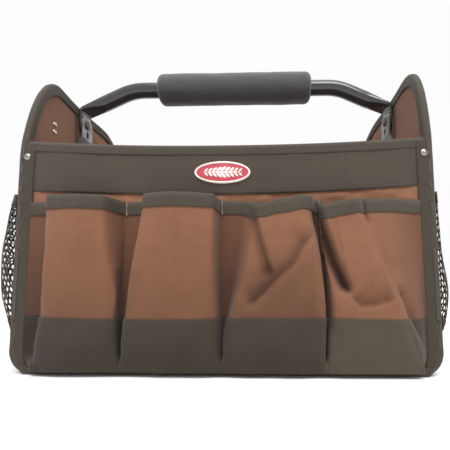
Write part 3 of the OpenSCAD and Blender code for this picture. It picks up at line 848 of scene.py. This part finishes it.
BACK = {
    # how much more (plus) or less (minus) painted shade each pocket takes towards its foot
    "tones": (0.0, 0.05, 0.0, 0.05),
    "dividers": ((-193, -193), (-97, -95), (0, 1), (97, 95), (193, 193)),
    "pockets": (
        pocket((-180, -178, -172, -168, -163, -158, -156), (-100, -100, -98, -96, -102, -106, -107), FULL_OUT),
        pocket((-94, -93, -90, -86, -80, -74, -72), (-4, -4, -5, -8, -12, -18, -19), FULL_OUT, top=(165, 167)),
        pocket((3, 4, 7, 12, 18, 24, 26), (93, 92, 90, 86, 80, 75, 74), (8, 14, 18, 21, 23, 24, 23), top=(166, 164)),
        pocket((100, 101, 103, 106, 110, 115, 117), (180, 178, 172, 168, 164, 160, 159), FULL_OUT, top=(165, 166)),
    ),
    "creases": (
        (((30, 150), (42, 120), (64, 96)), 4.5, 8.0, 4.0),
        (((-60, 128), (-44, 112), (-24, 92)), 3.5, 7.0, 6.0),
        (((-150, 92), (-128, 78), (-108, 72)), 3.0, 6.0, 6.0),
        (((122, 120), (140, 104), (158, 100)), 3.5, 6.0, 7.0),
    ),
}
TABLE_Z = np.linspace(0, 170, 171)


def keyed(values):
    """Values given at KEYS, at each height of TABLE_Z, with the corners eased."""
    shifts = (-9, -6, -3, 0, 3, 6, 9)
    return np.mean([np.interp(TABLE_Z + s, KEYS, values) for s in shifts], axis=0)


def divider_x(shape, i):
    """Where a divider runs at each height; the two outer ones follow the edge of the end tape."""
    last = len(shape["dividers"]) - 1
    if i in (0, last):
        edge = end_x(YO, TABLE_Z) - TAPE_W + 1.2
        return edge if i else -edge
    foot, head = shape["dividers"][i]
    return foot + (head - foot) * smoothstep(TABLE_Z, 60, 150)


def strip_controls(shape):
    """Control points across the pocket strip at each height of TABLE_Z, and the mouth's height at each."""
    rows, tops = [], []
    closed = 1 - smoothstep(TABLE_Z, 9, 23)  # the slits between the pockets close towards the foot
    low_out = keyed(FULL_OUT)
    recess = 165.5

    def add_row(x, out, top):
        rows.append(np.stack([x, out], axis=1))
        tops.append(top)

    def add_divider(i):
        x = divider_x(shape, i)
        floor = 1.6 + closed * (low_out - 1.7) * (0 < i < len(shape["dividers"]) - 1)
        for step in (-1.2, 0, 1.2):
            add_row(x + step, floor, recess)

    for i, p in enumerate(shape["pockets"]):
        add_divider(i)
        left, right, out = keyed(p["left"]), keyed(p["right"]), keyed(p["out"])
        left_top, right_top = p["top"]
        open_flank, shut_flank = (keyed(f) if np.ndim(f) else f for f in p["flanks"])
        start = rows[-1][:, 0]
        near = np.maximum(left - open_flank - 1, start + 0.4)
        add_row(near, np.full_like(near, 2.0) + closed * (low_out - 2), recess)
        half_out = out * (0.5 + 0.5 * closed)
        edge_lift = 2.4 * (closed - 1)
        add_row(np.maximum(left - open_flank * 0.45, start + 0.8), half_out, (recess + left_top) / 2)
        for dx, lift in ((0, edge_lift), (4.5, 0.0), (11, 1.0)):
            add_row(left + dx, out + lift, left_top)
        for share in (0.33, 0.5, 0.67):
            top = left_top + (right_top - left_top) * share
            add_row(left + (right - left) * share, out + p["crown"], top)
        for dx, lift in ((11, 1.0), (4.5, 0.0), (0, edge_lift)):
            add_row(right - dx, out + lift, right_top)
        stop = divider_x(shape, i + 1) - 1.2
        if p["crown"] < 2:  # the slumped pocket: its right-hand side is one slack slope
            room = stop - right
            for share, drop, top in ((0.2, 0.78, 164), (0.5, 0.55, 165), (0.75, 0.3, 165), (0.92, 0.12, 165)):
                add_row(right + room * share, out * drop + 1, top)
        else:
            add_row(np.minimum(right + shut_flank * 0.45, stop - 0.8), half_out, (recess + right_top) / 2)
            far = np.minimum(right + shut_flank + 1, stop - 0.4)
            add_row(far, np.full_like(far, 2.0) + closed * (low_out - 2), recess)
    add_divider(len(shape["pockets"]))
    return np.array(rows), np.array(tops, float)


def crease_depth(x, z, shape):
    """How far the creases draw the cloth in at each point."""
    total = np.zeros_like(x)
    for line, depth, left_w, right_w in shape["creases"]:
        line = np.array(line, float)
        spans = np.linalg.norm(np.diff(line, axis=0), axis=1)
        done = 0.0
        best = np.full(x.shape, 1e9)
        signed = np.zeros_like(x)
        along = np.zeros_like(x)
        for a, b, span in zip(line[:-1], line[1:], spans):
            d = (b - a) / span
            s = np.clip((x - a[0]) * d[0] + (z - a[1]) * d[1], 0, span)
            off_x, off_z = x - a[0] - d[0] * s, z - a[1] - d[1] * s
            far = np.hypot(off_x, off_z)
            cross = d[0] * off_z - d[1] * off_x
            closer = far < best
            best = np.where(closer, far, best)
            signed = np.where(closer, cross, signed)
            along = np.where(closer, done + s, along)
            done += span
        width = np.where(signed > 0, left_w, right_w)
        fade = smoothstep(along, -2, 0.18 * done) * (1 - smoothstep(along, 0.86 * done, done + 2))
        total += depth * fade * np.exp(-((best / width) ** 1.6))
    return total


class Strip:
    """The pocket strip of one long wall: one length of cloth, pleated between the pockets."""

    def __init__(self, shape, seed):
        controls, tops = strip_controls(shape)
        self.table = spline(controls, PER_SPAN)
        self.top = spline(tops, PER_SPAN)
        self.shape = shape
        self.seed = seed

    def at(self, z):
        """Outer face at heights z, an array with one row for each point across the strip."""
        i = np.clip(z.astype(int), 0, len(TABLE_Z) - 2)
        t = (z - i)[..., None]
        row = np.arange(z.shape[0])[:, None]
        mixed = self.table[row, i] * (1 - t) + self.table[row, i + 1] * t
        x, out = mixed[..., 0], mixed[..., 1]
        face = smoothstep(out, 4, 14)
        out = out - crease_depth(x, z, self.shape) * face
        out = out + ripple(x, z, 30, 2.2, self.seed) * face
        out = out + ripple(x, z, 9, 0.5, self.seed + 3) * (0.35 + 0.65 * face)
        pucker = smoothstep(z, BOOT_TOP - 2, BOOT_TOP + 4) * (1 - smoothstep(z, BOOT_TOP + 4, BOOT_TOP + 20))
        out = out + np.sin(x / 4.3 + 1.4 * np.sin(x / 13.0)) * 0.45 * pucker * face
        return np.stack([x, -YO - np.maximum(out, POCKET_T + 0.1), z], axis=2)

    def rows(self, low, high, count):
        """Heights from low to high, each a number or one value for each point across."""
        low = np.broadcast_to(np.asarray(low, float), self.top.shape)
        high = np.broadcast_to(np.asarray(high, float), self.top.shape)
        share = np.linspace(0, 1, count)
        return low[:, None] + (high - low)[:, None] * share[None, :]


def tone(x, shape):
    """How much more or less painted shade each pocket takes than the others."""
    middles = [(p["left"][3] + p["right"][3]) / 2 for p in shape["pockets"]]
    return np.interp(x, np.ravel([(m - 28, m + 28) for m in middles]), np.repeat(shape["tones"], 2))


def lying_back(z, out):
    """From 0 where a pocket stands out in full to 1 where it lies against the wall."""
    return np.clip(1 - 1.3 * (out / np.interp(z, KEYS, FULL_OUT) - 0.07), 0, 1)


def boot_grime(x, z, out, shape):
    """Painted shade on the boots: darkest in their slits and at the foot, and following the tone of their pocket."""
    even = 0.48 + 0.27 * (1 - z / BOOT_TOP) + np.minimum(tone(x, shape), 0) * 1.7
    return np.clip(even + 0.9 * lying_back(z, out), 0, 1)


def strip_grime(x, z, out, shape):
    """Painted shade: darker where the cloth lies back, in the creases and towards the foot."""
    crease = np.clip(crease_depth(x, z, shape) / 7.0 - 0.4, 0, 1)
    low = 1 - smoothstep(z, 55, 165)
    folded = 0.6 * lying_back(z, out) + 0.75 * crease
    return np.clip(folded + (0.45 + 0.8 * tone(x, shape)) * low - 0.03, 0, 1)


def make_strip(side, word, shape, seed):
    strip = Strip(shape, seed)
    body = strip.at(strip.rows(STRIP_LOW, strip.top, 110))
    n = normals_of(body)
    flip = -1.0 if n[..., 1].mean() > 0 else 1.0
    outer, inner = put(body, side), put(body - n * flip * POCKET_T, side)
    piece = closed_sheet(f"{word}_pocket_strip", outer, inner, "brown_canvas")
    z, out = body[..., 2], -YO - body[..., 1]
    # painted shade on the strip: darker where it lies back, in its creases and towards the foot
    set_wear(piece, strip_grime(body[..., 0], z, out, shape), "painted_shade")
    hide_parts(*[f"{word}_pocket_{i}" for i in (1, 2, 3, 4)])

    edge = BOOT_TOP + 0.8 * np.sin(strip.table[:, 56, 0] / 40.0)
    boots = strip.at(strip.rows(BOOT_LOW, edge, 44))
    nb = normals_of(boots) * flip
    boot = closed_sheet(
        f"{word}_boot_strip", put(boots + nb * 1.0, side), put(boots - nb * 0.4, side), "olive_canvas"
    )
    # painted shade on the boots: darkest in their slits and at the foot
    set_wear(boot, boot_grime(boots[..., 0], boots[..., 2], -YO - boots[..., 1], shape), "painted_shade")
    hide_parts(f"{word}_pocket_boots")
    hem = hem_piece(strip, side, word, flip)
    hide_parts(f"{word}_pocket_hems")

    seams = []
    for name, rows, lift in (
        ("boot", strip.rows(edge - 2.2, edge - 2.0, 3), 1.0),
        ("boot_low", strip.rows(edge - 5.2, edge - 5.0, 3), 1.0),
        ("hem", strip.rows(strip.top - HEM_H + 2, strip.top - HEM_H + 2.2, 3), 0.95),
    ):
        line = strip.at(rows)
        normal = normals_of(line) * flip
        path = line[:, 1] + normal[:, 1] * lift
        seams.append(stitches(f"{word}_{name}_seam", put(path, side), put(normal[:, 1], side)))
    seam = join(f"{word}_pocket_seams", seams)
    return strip


def hem_piece(strip, side, word, flip):
    """Tape folded over the mouth of the strip."""
    lift = 0.9
    front = strip.at(strip.rows(strip.top - HEM_H, strip.top, 12))
    n = normals_of(front) * flip
    columns = [front[:, k] + n[:, k] * lift for k in range(12)]
    crest, out = front[:, -1], n[:, -1]
    middle = crest - out * POCKET_T / 2
    up = np.array([0, 0, 1.0])
    radius = POCKET_T / 2 + lift
    for a in np.linspace(0, math.pi, 6)[1:-1]:
        columns.append(middle + radius * (out * math.cos(a) + up * math.sin(a)))
    for k in (-1, -4, -8):
        columns.append(front[:, k] - n[:, k] * (POCKET_T + lift))
    grid = put(np.stack(columns, axis=1), side)
    piece = cloth(f"{word}_hem_tape", grid, 0.8 * flip, "olive_hem")
    wear = np.zeros(grid.shape[:2])
    wear[:, 9:16] = 0.1
    set_wear(piece, np.concatenate([wear.ravel(), wear.ravel() * 0]))
    return piece


def make_tacks():
    """Zigzag bar tacks at the mouth of each pleat, on both long walls."""
    pieces = []
    for side, word, shape in ((1, "front", FRONT), (-1, "back", BACK)):
        for _, head in shape["dividers"][1:-1]:
            z = np.linspace(153.5, 166, 27)
            x = head + 0.75 * np.where(np.arange(27) % 2, 1, -1)
            line = np.stack([x, np.full(27, -YO - 3.3), z], axis=1)
            out = np.tile(put(np.array([0, -1.0, 0]), side), (27, 1))
            pieces.append(
                stitches(f"tack_{word}_{head}", put(line, side), out, "pale_thread", 1.5, 0.1, 0.7, 0.35)
            )
    piece = join("bar_tack_threads", pieces)
    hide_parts("pocket_bar_tacks")


make_strip(1, "front", FRONT, 20.0)
make_strip(-1, "back", BACK, 40.0)
make_tacks()


# ---------------------------------------------------------------- base


def footprint(inset, z, corner=9.0, count=40):
    """Points round the bag at height z, counter-clockwise, inset from its outer faces."""
    half_y = YO - inset
    points = []
    for sx, sy in ((1, 1), (-1, 1), (-1, -1), (1, -1)):
        first = {(1, 1): 0, (-1, 1): 1, (-1, -1): 2, (1, -1): 3}[(sx, sy)]
        for a in np.linspace(0, math.pi / 2, 8):
            angle = first * math.pi / 2 + a
            cx = float(end_x(half_y, z)) - inset - corner
            cy = half_y - corner
            points.append((sx * cx + corner * math.cos(angle), sy * cy + corner * math.sin(angle)))
        if sx == sy:
            xs = np.linspace(sx * (float(end_x(half_y, z)) - inset - corner), -sx * (float(end_x(half_y, z)) - inset - corner), count)
            points += [(x, sy * half_y) for x in xs[1:-1]]
        else:
            ys = np.linspace(sy * (half_y - corner), -sy * (half_y - corner), count // 2)
            points += [(sx * (float(end_x(y, z)) - inset), y) for y in ys[1:-1]]
    return np.array(points)


def base_slab(name, node, inset, low, high, material, bow=0.0):
    """A layer of the base, as rings of points drawn in towards the middle."""
    ring = footprint(inset, max(high, 2.0))
    shares = np.concatenate([[1.0], np.linspace(0.985, 0.0008, 22)])
    top, bottom = [], []
    for s in shares:
        xy = ring * s
        lift = bow * (1 - s**4) * (0.6 + ripple(xy[:, 0], xy[:, 1], 60, 0.8, 8.0))
        top.append(np.column_stack([xy, np.full(len(xy), high) + lift]))
        bottom.append(np.column_stack([xy, np.full(len(xy), low)]))
    outer = np.stack(top, axis=1)
    inner = np.stack(bottom, axis=1)
    uv = outer[..., :2]
    piece = closed_sheet(name, outer, inner, material, wrap=True, uv=uv)
    fill = bmesh.new()
    fill.from_mesh(piece.data)
    loops = [e for e in fill.edges if e.is_boundary]
    if loops:
        bmesh.ops.holes_fill(fill, edges=loops)
    fill.to_mesh(piece.data)
    fill.free()
    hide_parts(node)
    return piece


def make_base():
    cloth_piece = base_slab("base_cloth", "base_panel", 1.0, 0.0, 1.6, "brown_canvas")
    base_slab("base_stiffener", "base_board", 9.0, 1.7, 4.5, "stiffener_board")
    lining = base_slab("base_lining_cloth", "base_lining", 6.4, 4.6, 6.0, "brown_lining", bow=1.5)
    # piping round the foot: a flat strip, rounded over at its lower edge
    profile = ((-1.2, 9.0), (1.8, 9.0), (2.4, 7.5), (2.7, 4.5), (2.5, 2.2), (1.4, 0.6), (-0.6, 0.05), (-5, 0.0))
    rows = []
    for out, z in profile:
        ring = footprint(-out, max(z, 3.5))
        rows.append(np.column_stack([ring, np.full(len(ring), z)]))
    grid = np.stack(rows, axis=1)
    piece = cloth("foot_piping", grid, -1.0, "olive_tape", wrap=True)
    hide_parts("base_binding")


make_base()


# ---------------------------------------------------------------- mesh pockets

NET_LOW, NET_TOP = 49.0, 173.0
NET_PITCH = 7.0
NET_HOLE = 0.38  # radius of a hole as a share of the pitch
NET_T = 0.6


# how far the net stands out beside the front tape at each height, on the left and on the right
NET_Z = (44, 52, 67, 82, 101, 121, 140, 160, 170, 180)
NET_OUT = {
    -1: (2, 8, 17, 22, 25, 22, 18.5, 15, 9, 4),
    1: (3, 9, 14, 14.5, 11, 7, 4.5, 3.5, 3, 2.5),
}


def net_point(s, z, side):
    """The net at s from -1 (front seam) to 1 (back seam) and height z, for the right-hand end."""
    half = YO - 1.5
    y = half * np.sign(s) * np.abs(np.sin(np.clip(s, -1, 1) * math.pi / 2)) ** 0.62
    flat = np.abs(y / half)
    shifts = (-8, -4, 0, 4, 8)
    out = np.mean([np.interp(z + d, NET_Z, NET_OUT[side]) for d in shifts], axis=0)
    bulge = np.maximum(1 - flat**9, 0) ** 0.36
    x = end_x(y, z) + TAPE_T + 0.4 + out * bulge * (0.85 + 0.15 * flat)
    return np.stack([x, y, z], axis=-1)


def net_lengths(side):
    """Arc length along the net from its front seam, for evenly spread cells."""
    s = np.linspace(-1, 1, 801)
    line = net_point(s, np.full(801, 105.0), side)
    step = np.linalg.norm(np.diff(line, axis=0), axis=1)
    return s, np.concatenate([[0], np.cumsum(step)])


def make_net(side, word):
    s_table, arc = net_lengths(side)
    pitch = NET_PITCH
    row_h = pitch * math.sqrt(3) / 2
    columns = int(arc[-1] / pitch)
    rows = int((NET_TOP - NET_LOW) / row_h)
    pitch_u = arc[-1] / (columns + 0.5)
    index, flat_points, faces = {}, [], []

    def vertex(u, v):
        key = (round(u * 50), round(v * 50))
        if key not in index:
            index[key] = len(flat_points)
            flat_points.append((u, v))
        return index[key]

    corner = pitch_u / math.sqrt(3)
    for r in range(rows):
        for c in range(columns):
            u0 = (c + 0.5 + 0.5 * (r % 2)) * pitch_u
            v0 = NET_LOW + (r + 0.5) * row_h
            rim, hole = [], []
            for k in range(12):
                a = math.pi / 6 * k + math.pi / 6
                reach = corner if k % 2 == 0 else corner * math.cos(math.pi / 6)
                rim.append(vertex(u0 + reach * math.cos(a), v0 + reach * math.sin(a)))
                hole.append(vertex(u0 + pitch * NET_HOLE * math.cos(a), v0 + pitch * NET_HOLE * math.sin(a)))
            for k in range(12):
                j = (k + 1) % 12
                faces.append((rim[k], rim[j], hole[j], hole[k]))
    flat_points = np.array(flat_points)
    u = np.clip(flat_points[:, 0], 0, arc[-1])
    s = np.interp(u, arc, s_table)
    points = net_point(s, flat_points[:, 1], side)
    slump = ripple(points[:, 1], points[:, 2], 32, 2.2, side * 4.0) * (1 - np.abs(s) ** 6)
    points[:, 0] += slump
    points = at_end(points, side)
    piece = new_piece(f"{word}_net", points, faces, "mesh", uv=flat_points)
    solid = piece.modifiers.new("thickness", "SOLIDIFY")
    solid.thickness = NET_T * MM
    solid.offset = 0
    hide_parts(f"{word}_mesh_pocket")
    band_s = np.linspace(-1, 1, 121)
    for name, low, high in (("mouth", NET_TOP - 7, NET_TOP + 3), ("foot", NET_LOW - 6, NET_LOW + 3)):
        z = np.linspace(low, high, 6)
        ss, zz = np.meshgrid(band_s, z, indexing="ij")
        grid = net_point(ss, zz, side)
        if name == "foot":
            drawn = np.linspace(0, 1, 6)[None, :] ** 0.6
            wall = end_x(grid[..., 1], zz) + 1.0
            grid[..., 0] = wall + (grid[..., 0] - wall) * drawn
        grid[..., 0] += 0.9 + ripple(grid[..., 1], zz, 32, 2.2, side * 4.0) * (1 - np.abs(ss) ** 6)
        grid = at_end(grid, side)
        cloth(f"{word}_net_{name}", grid, 1.6 * side, "olive_hem")
    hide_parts(f"{word}_mesh_hem")


for side, word in ((-1, "left"), (1, "right")):
    make_net(side, word)


# ---------------------------------------------------------------- badge


def oval(w, h, count=72):
    a = np.linspace(0, 2 * math.pi, count, endpoint=False)
    return np.stack([w / 2 * np.cos(a), h / 2 * np.sin(a)], axis=1)


def make_badge():
    low, high = box_mm("badge_rim")
    middle = (low + high) / 2
    w, h = high[0] - low[0], high[2] - low[2]
    face = high[1]

    def ring(width, height, out):
        xz = oval(width, height) + np.array([middle[0], middle[2]])
        return np.stack([xz[:, 0], np.full(len(xz), face - out), xz[:, 1]], axis=1)

    def shell(name, steps, material, node):
        grid = np.stack([ring(*s) for s in steps], axis=1)
        back = grid.copy()
        back[..., 1] = face
        piece = closed_sheet(name, grid, back, material, wrap=True)
        work = bmesh.new()
        work.from_mesh(piece.data)
        open_edges = [e for e in work.edges if e.is_boundary]
        if open_edges:
            bmesh.ops.holes_fill(work, edges=open_edges)
        work.to_mesh(piece.data)
        work.free()
        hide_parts(node)
        return piece

    wide = 4.4
    steps = []
    for a in np.linspace(0, math.pi, 9):
        steps.append((w - wide * (1 - math.cos(a)) / 2, h - wide * (1 - math.cos(a)) / 2, 0.2 + 1.9 * math.sin(a)))
    shell("badge_border", steps, "badge_pale", "badge_rim")
    inner = [(w - 4.0, h - 4.0, 0.9)]
    for s in np.linspace(0.97, 0.03, 10):
        inner.append(((w - 4.0) * s, (h - 4.0) * s, 0.9 + 0.7 * (1 - s * s)))
    shell("badge_field", inner, "badge_red", "badge_plate")

    points, faces = [], []

    def leaf(x, z, angle, length, width):
        first = len(points)
        for i, share in enumerate(np.linspace(0, 1, 7)):
            half = width / 2 * math.sin(math.pi * share) ** 0.7 + 0.06
            for side, rise in ((-1, 0.0), (0, 0.45), (1, 0.0)):
                px = (share - 0.5) * length
                pz = side * half
                ax = x + px * math.cos(angle) - pz * math.sin(angle)
                az = z + px * math.sin(angle) + pz * math.cos(angle)
                inside = 1 - ((ax / (w / 2)) ** 2 + (az / (h / 2)) ** 2)
                out = 0.95 + 0.7 * max(inside, 0) + rise
                points.append((middle[0] + ax, face - out, middle[2] + az))
            if i:
                a = first + 3 * (i - 1)
                faces.extend([(a, a + 1, a + 4, a + 3), (a + 1, a + 2, a + 5, a + 4)])

    leaf(0, 0, 0, 39, 1.5)
    for i in range(-4, 5):
        size = 1 - 0.09 * abs(i)
        for s in (-1, 1):
            leaf(i * 4.1 + 0.9, s * 3.1 * size, s * 0.72, 7.4 * size, 3.0 * size)
    piece = new_piece("badge_sprig", points, faces, "badge_pale", uv=np.array(points)[:, ::2])
    solid = piece.modifiers.new("thickness", "SOLIDIFY")
    solid.thickness = 0.5 * MM
    solid.offset = -1
    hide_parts("badge_emblem")


make_badge()


# ---------------------------------------------------------------- handle

TUBE_R = 9.5
BEND_R = 70.0
SLOPE = math.radians(24)
GRIP_Z = (GRIP_LOW[2] + GRIP_HIGH[2]) / 2
BEND_X = GRIP_HIGH[0] + 21
TONGUE_X = box_mm("handle_tube")[1][0] - 2.0
KNEE_R = 7.0
TONGUE_HALF = 12.0


def tube_stations():
    """Right half of the tube: x, z, angle down, half thickness, half width and squareness at each."""
    slope_x = BEND_X + BEND_R * math.sin(SLOPE)
    slope_z = GRIP_Z - BEND_R * (1 - math.cos(SLOPE))
    knee_x = TONGUE_X - KNEE_R * (1 - math.sin(SLOPE))
    press_x = knee_x - 26

    def line(x):
        return slope_z - (x - slope_x) * math.tan(SLOPE)

    rows = [(x, GRIP_Z, 0.0, TUBE_R, TUBE_R, 1.0) for x in np.linspace(0, BEND_X, 12)]
    for a in np.linspace(0, SLOPE, 14)[1:]:
        rows.append((BEND_X + BEND_R * math.sin(a), GRIP_Z - BEND_R * (1 - math.cos(a)), a, TUBE_R, TUBE_R, 1.0))
    for x in np.linspace(slope_x, press_x, 6)[1:]:
        rows.append((x, line(x), SLOPE, TUBE_R, TUBE_R, 1.0))
    for t in np.linspace(0, 1, 12)[1:]:
        x = press_x + (knee_x - press_x) * t
        k = t * t * (3 - 2 * t)
        rows.append((x, line(x), SLOPE, TUBE_R + (3.2 - TUBE_R) * k, TUBE_R + (TONGUE_HALF - TUBE_R) * k, 1 - 0.6 * k))
    for t in np.linspace(0, 1, 10)[1:]:
        a = SLOPE + (math.pi / 2 - SLOPE) * t
        x = knee_x + KNEE_R * (math.sin(a) - math.sin(SLOPE))
        z = line(knee_x) - KNEE_R * (math.cos(SLOPE) - math.cos(a))
        rows.append((x, z, a, 2 + 1.2 * (1 - t), TONGUE_HALF, 0.4))
    rows.append((TONGUE_X, PIVOT_Z, math.pi / 2, 2.0, TONGUE_HALF, 0.4))
    for a in np.linspace(0, 1.45, 10)[1:]:
        drop = TONGUE_HALF * math.sin(a)
        rows.append((TONGUE_X, PIVOT_Z - drop, math.pi / 2, 2.0, TONGUE_HALF * math.cos(a), 0.4))
    return rows


def tube_ring(station, count=48):
    x, z, a, thick, wide, square = station
    k = np.linspace(0, 2 * math.pi, count, endpoint=False)
    u = thick * np.sign(np.cos(k)) * np.abs(np.cos(k)) ** square
    v = wide * np.sign(np.sin(k)) * np.abs(np.sin(k)) ** square
    return np.stack([x + u * math.sin(a), v, z + u * math.cos(a)], axis=1)


def make_handle():
    half = tube_stations()
    mirror = [(-x, z, -a, t, w, s) for x, z, a, t, w, s in half[:0:-1]]
    rings = np.array([tube_ring(s) for s in mirror + half])
    n, k = rings.shape[:2]
    index = np.arange(n * k).reshape(n, k)
    closed = np.concatenate([index, index[:, :1]], axis=1)
    faces = [tuple(f) for f in quads(closed)] + [tuple(index[0][::-1]), tuple(index[-1])]
    u, v = lengths(rings)
    piece = new_piece(
        "enamel_tube", rings.reshape(-1, 3), faces, "black_enamel", uv=np.stack([u, v], 2).reshape(-1, 2), body="handle"
    )
    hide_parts("handle_tube")

    r = (GRIP_HIGH[2] - GRIP_LOW[2]) / 2
    length = GRIP_HIGH[0]
    profile = [(-length + 0.5, TUBE_R + 0.1)]
    for a in np.linspace(0, math.pi / 2, 8):
        profile.append((-length + 8 - 8 * math.cos(a), r - 8 + 8 * math.sin(a)))
    profile += [(x, r) for x in np.linspace(-length + 8, length - 8, 64)[1:-1]]
    for a in np.linspace(math.pi / 2, 0, 8):
        profile.append((length - 8 + 8 * math.cos(a), r - 8 + 8 * math.sin(a)))
    profile.append((length - 0.5, TUBE_R + 0.1))
    angles = np.linspace(0, 2 * math.pi, 96, endpoint=False)
    rows = []
    for x, radius in profile:
        dent = np.array([noise.noise(Vector((x / 24, 2 * math.cos(a), 2 * math.sin(a)))) for a in angles])
        reach = radius + dent * 0.45 * (radius > r - 6)
        rows.append(np.stack([np.full(96, x), reach * np.cos(angles), GRIP_Z + reach * np.sin(angles)], axis=1))
    grid = np.array(rows).transpose(1, 0, 2)
    inner = grid.copy()
    spoke = inner[..., 1:] - np.array([0, GRIP_Z])
    spoke *= (TUBE_R + 0.05) / np.linalg.norm(spoke, axis=2, keepdims=True)
    inner[..., 1:] = spoke + np.array([0, GRIP_Z])
    grip = closed_sheet("foam_sleeve", grid, inner, "foam_grip", wrap=True, body="handle")
    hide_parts("handle_grip")


make_handle()


# ---------------------------------------------------------------- hardware

HARDWARE = {
    "left_handle_strap": "zinc_steel",
    "right_handle_strap": "zinc_steel",
    "left_backing_plate": "zinc_steel",
    "right_backing_plate": "zinc_steel",
    "pivot_bolts": "zinc_steel",
    "pivot_washers": "zinc_steel",
    "pivot_lock_nuts": "nickel",
    "pivot_spacers": "nylon",
    "strap_rivets": "nickel",
    "corner_rivets": "dark_nickel",
}


def finish_hardware():
    for node, material in HARDWARE.items():
        piece = frame["nodes"][node]
        piece.data.materials.clear()
        piece.data.materials.append(MATERIALS[material])
        edges = piece.modifiers.new("edges", "BEVEL")
        edges.width = 0.25 * MM
        edges.segments = 2
        edges.limit_method = "ANGLE"
        edges.angle_limit = math.radians(40)


def make_studs():
    """Capped studs on the lining of the left end, at the heights of their CAD node."""
    low, high = box_mm("end_studs")
    y = (low[1] + high[1]) / 2
    r = (high[1] - low[1]) / 2
    points, faces = [], []
    angles = np.linspace(0, 2 * math.pi, 24, endpoint=False)
    for z in (low[2] + r, high[2] - r):
        first = len(points)
        x = -float(end_x(y, z)) + END_T
        for share in (0.0, 0.25, 0.5, 0.75, 1.0):
            reach, rise = r * math.cos(share * math.pi / 2) + 0.05, 1.7 * math.sin(share * math.pi / 2)
            points += [(x + rise, y + reach * math.cos(a), z + reach * math.sin(a)) for a in angles]
        index = np.arange(first, first + 120).reshape(5, 24)
        faces += [tuple(f) for f in quads(np.concatenate([index, index[:, :1]], axis=1))]
        faces += [tuple(index[0]), tuple(index[-1])]
    piece = new_piece("lining_studs", points, faces, "nickel", uv=np.array(points)[:, 1:])
    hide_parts("end_studs")


finish_hardware()
make_studs()
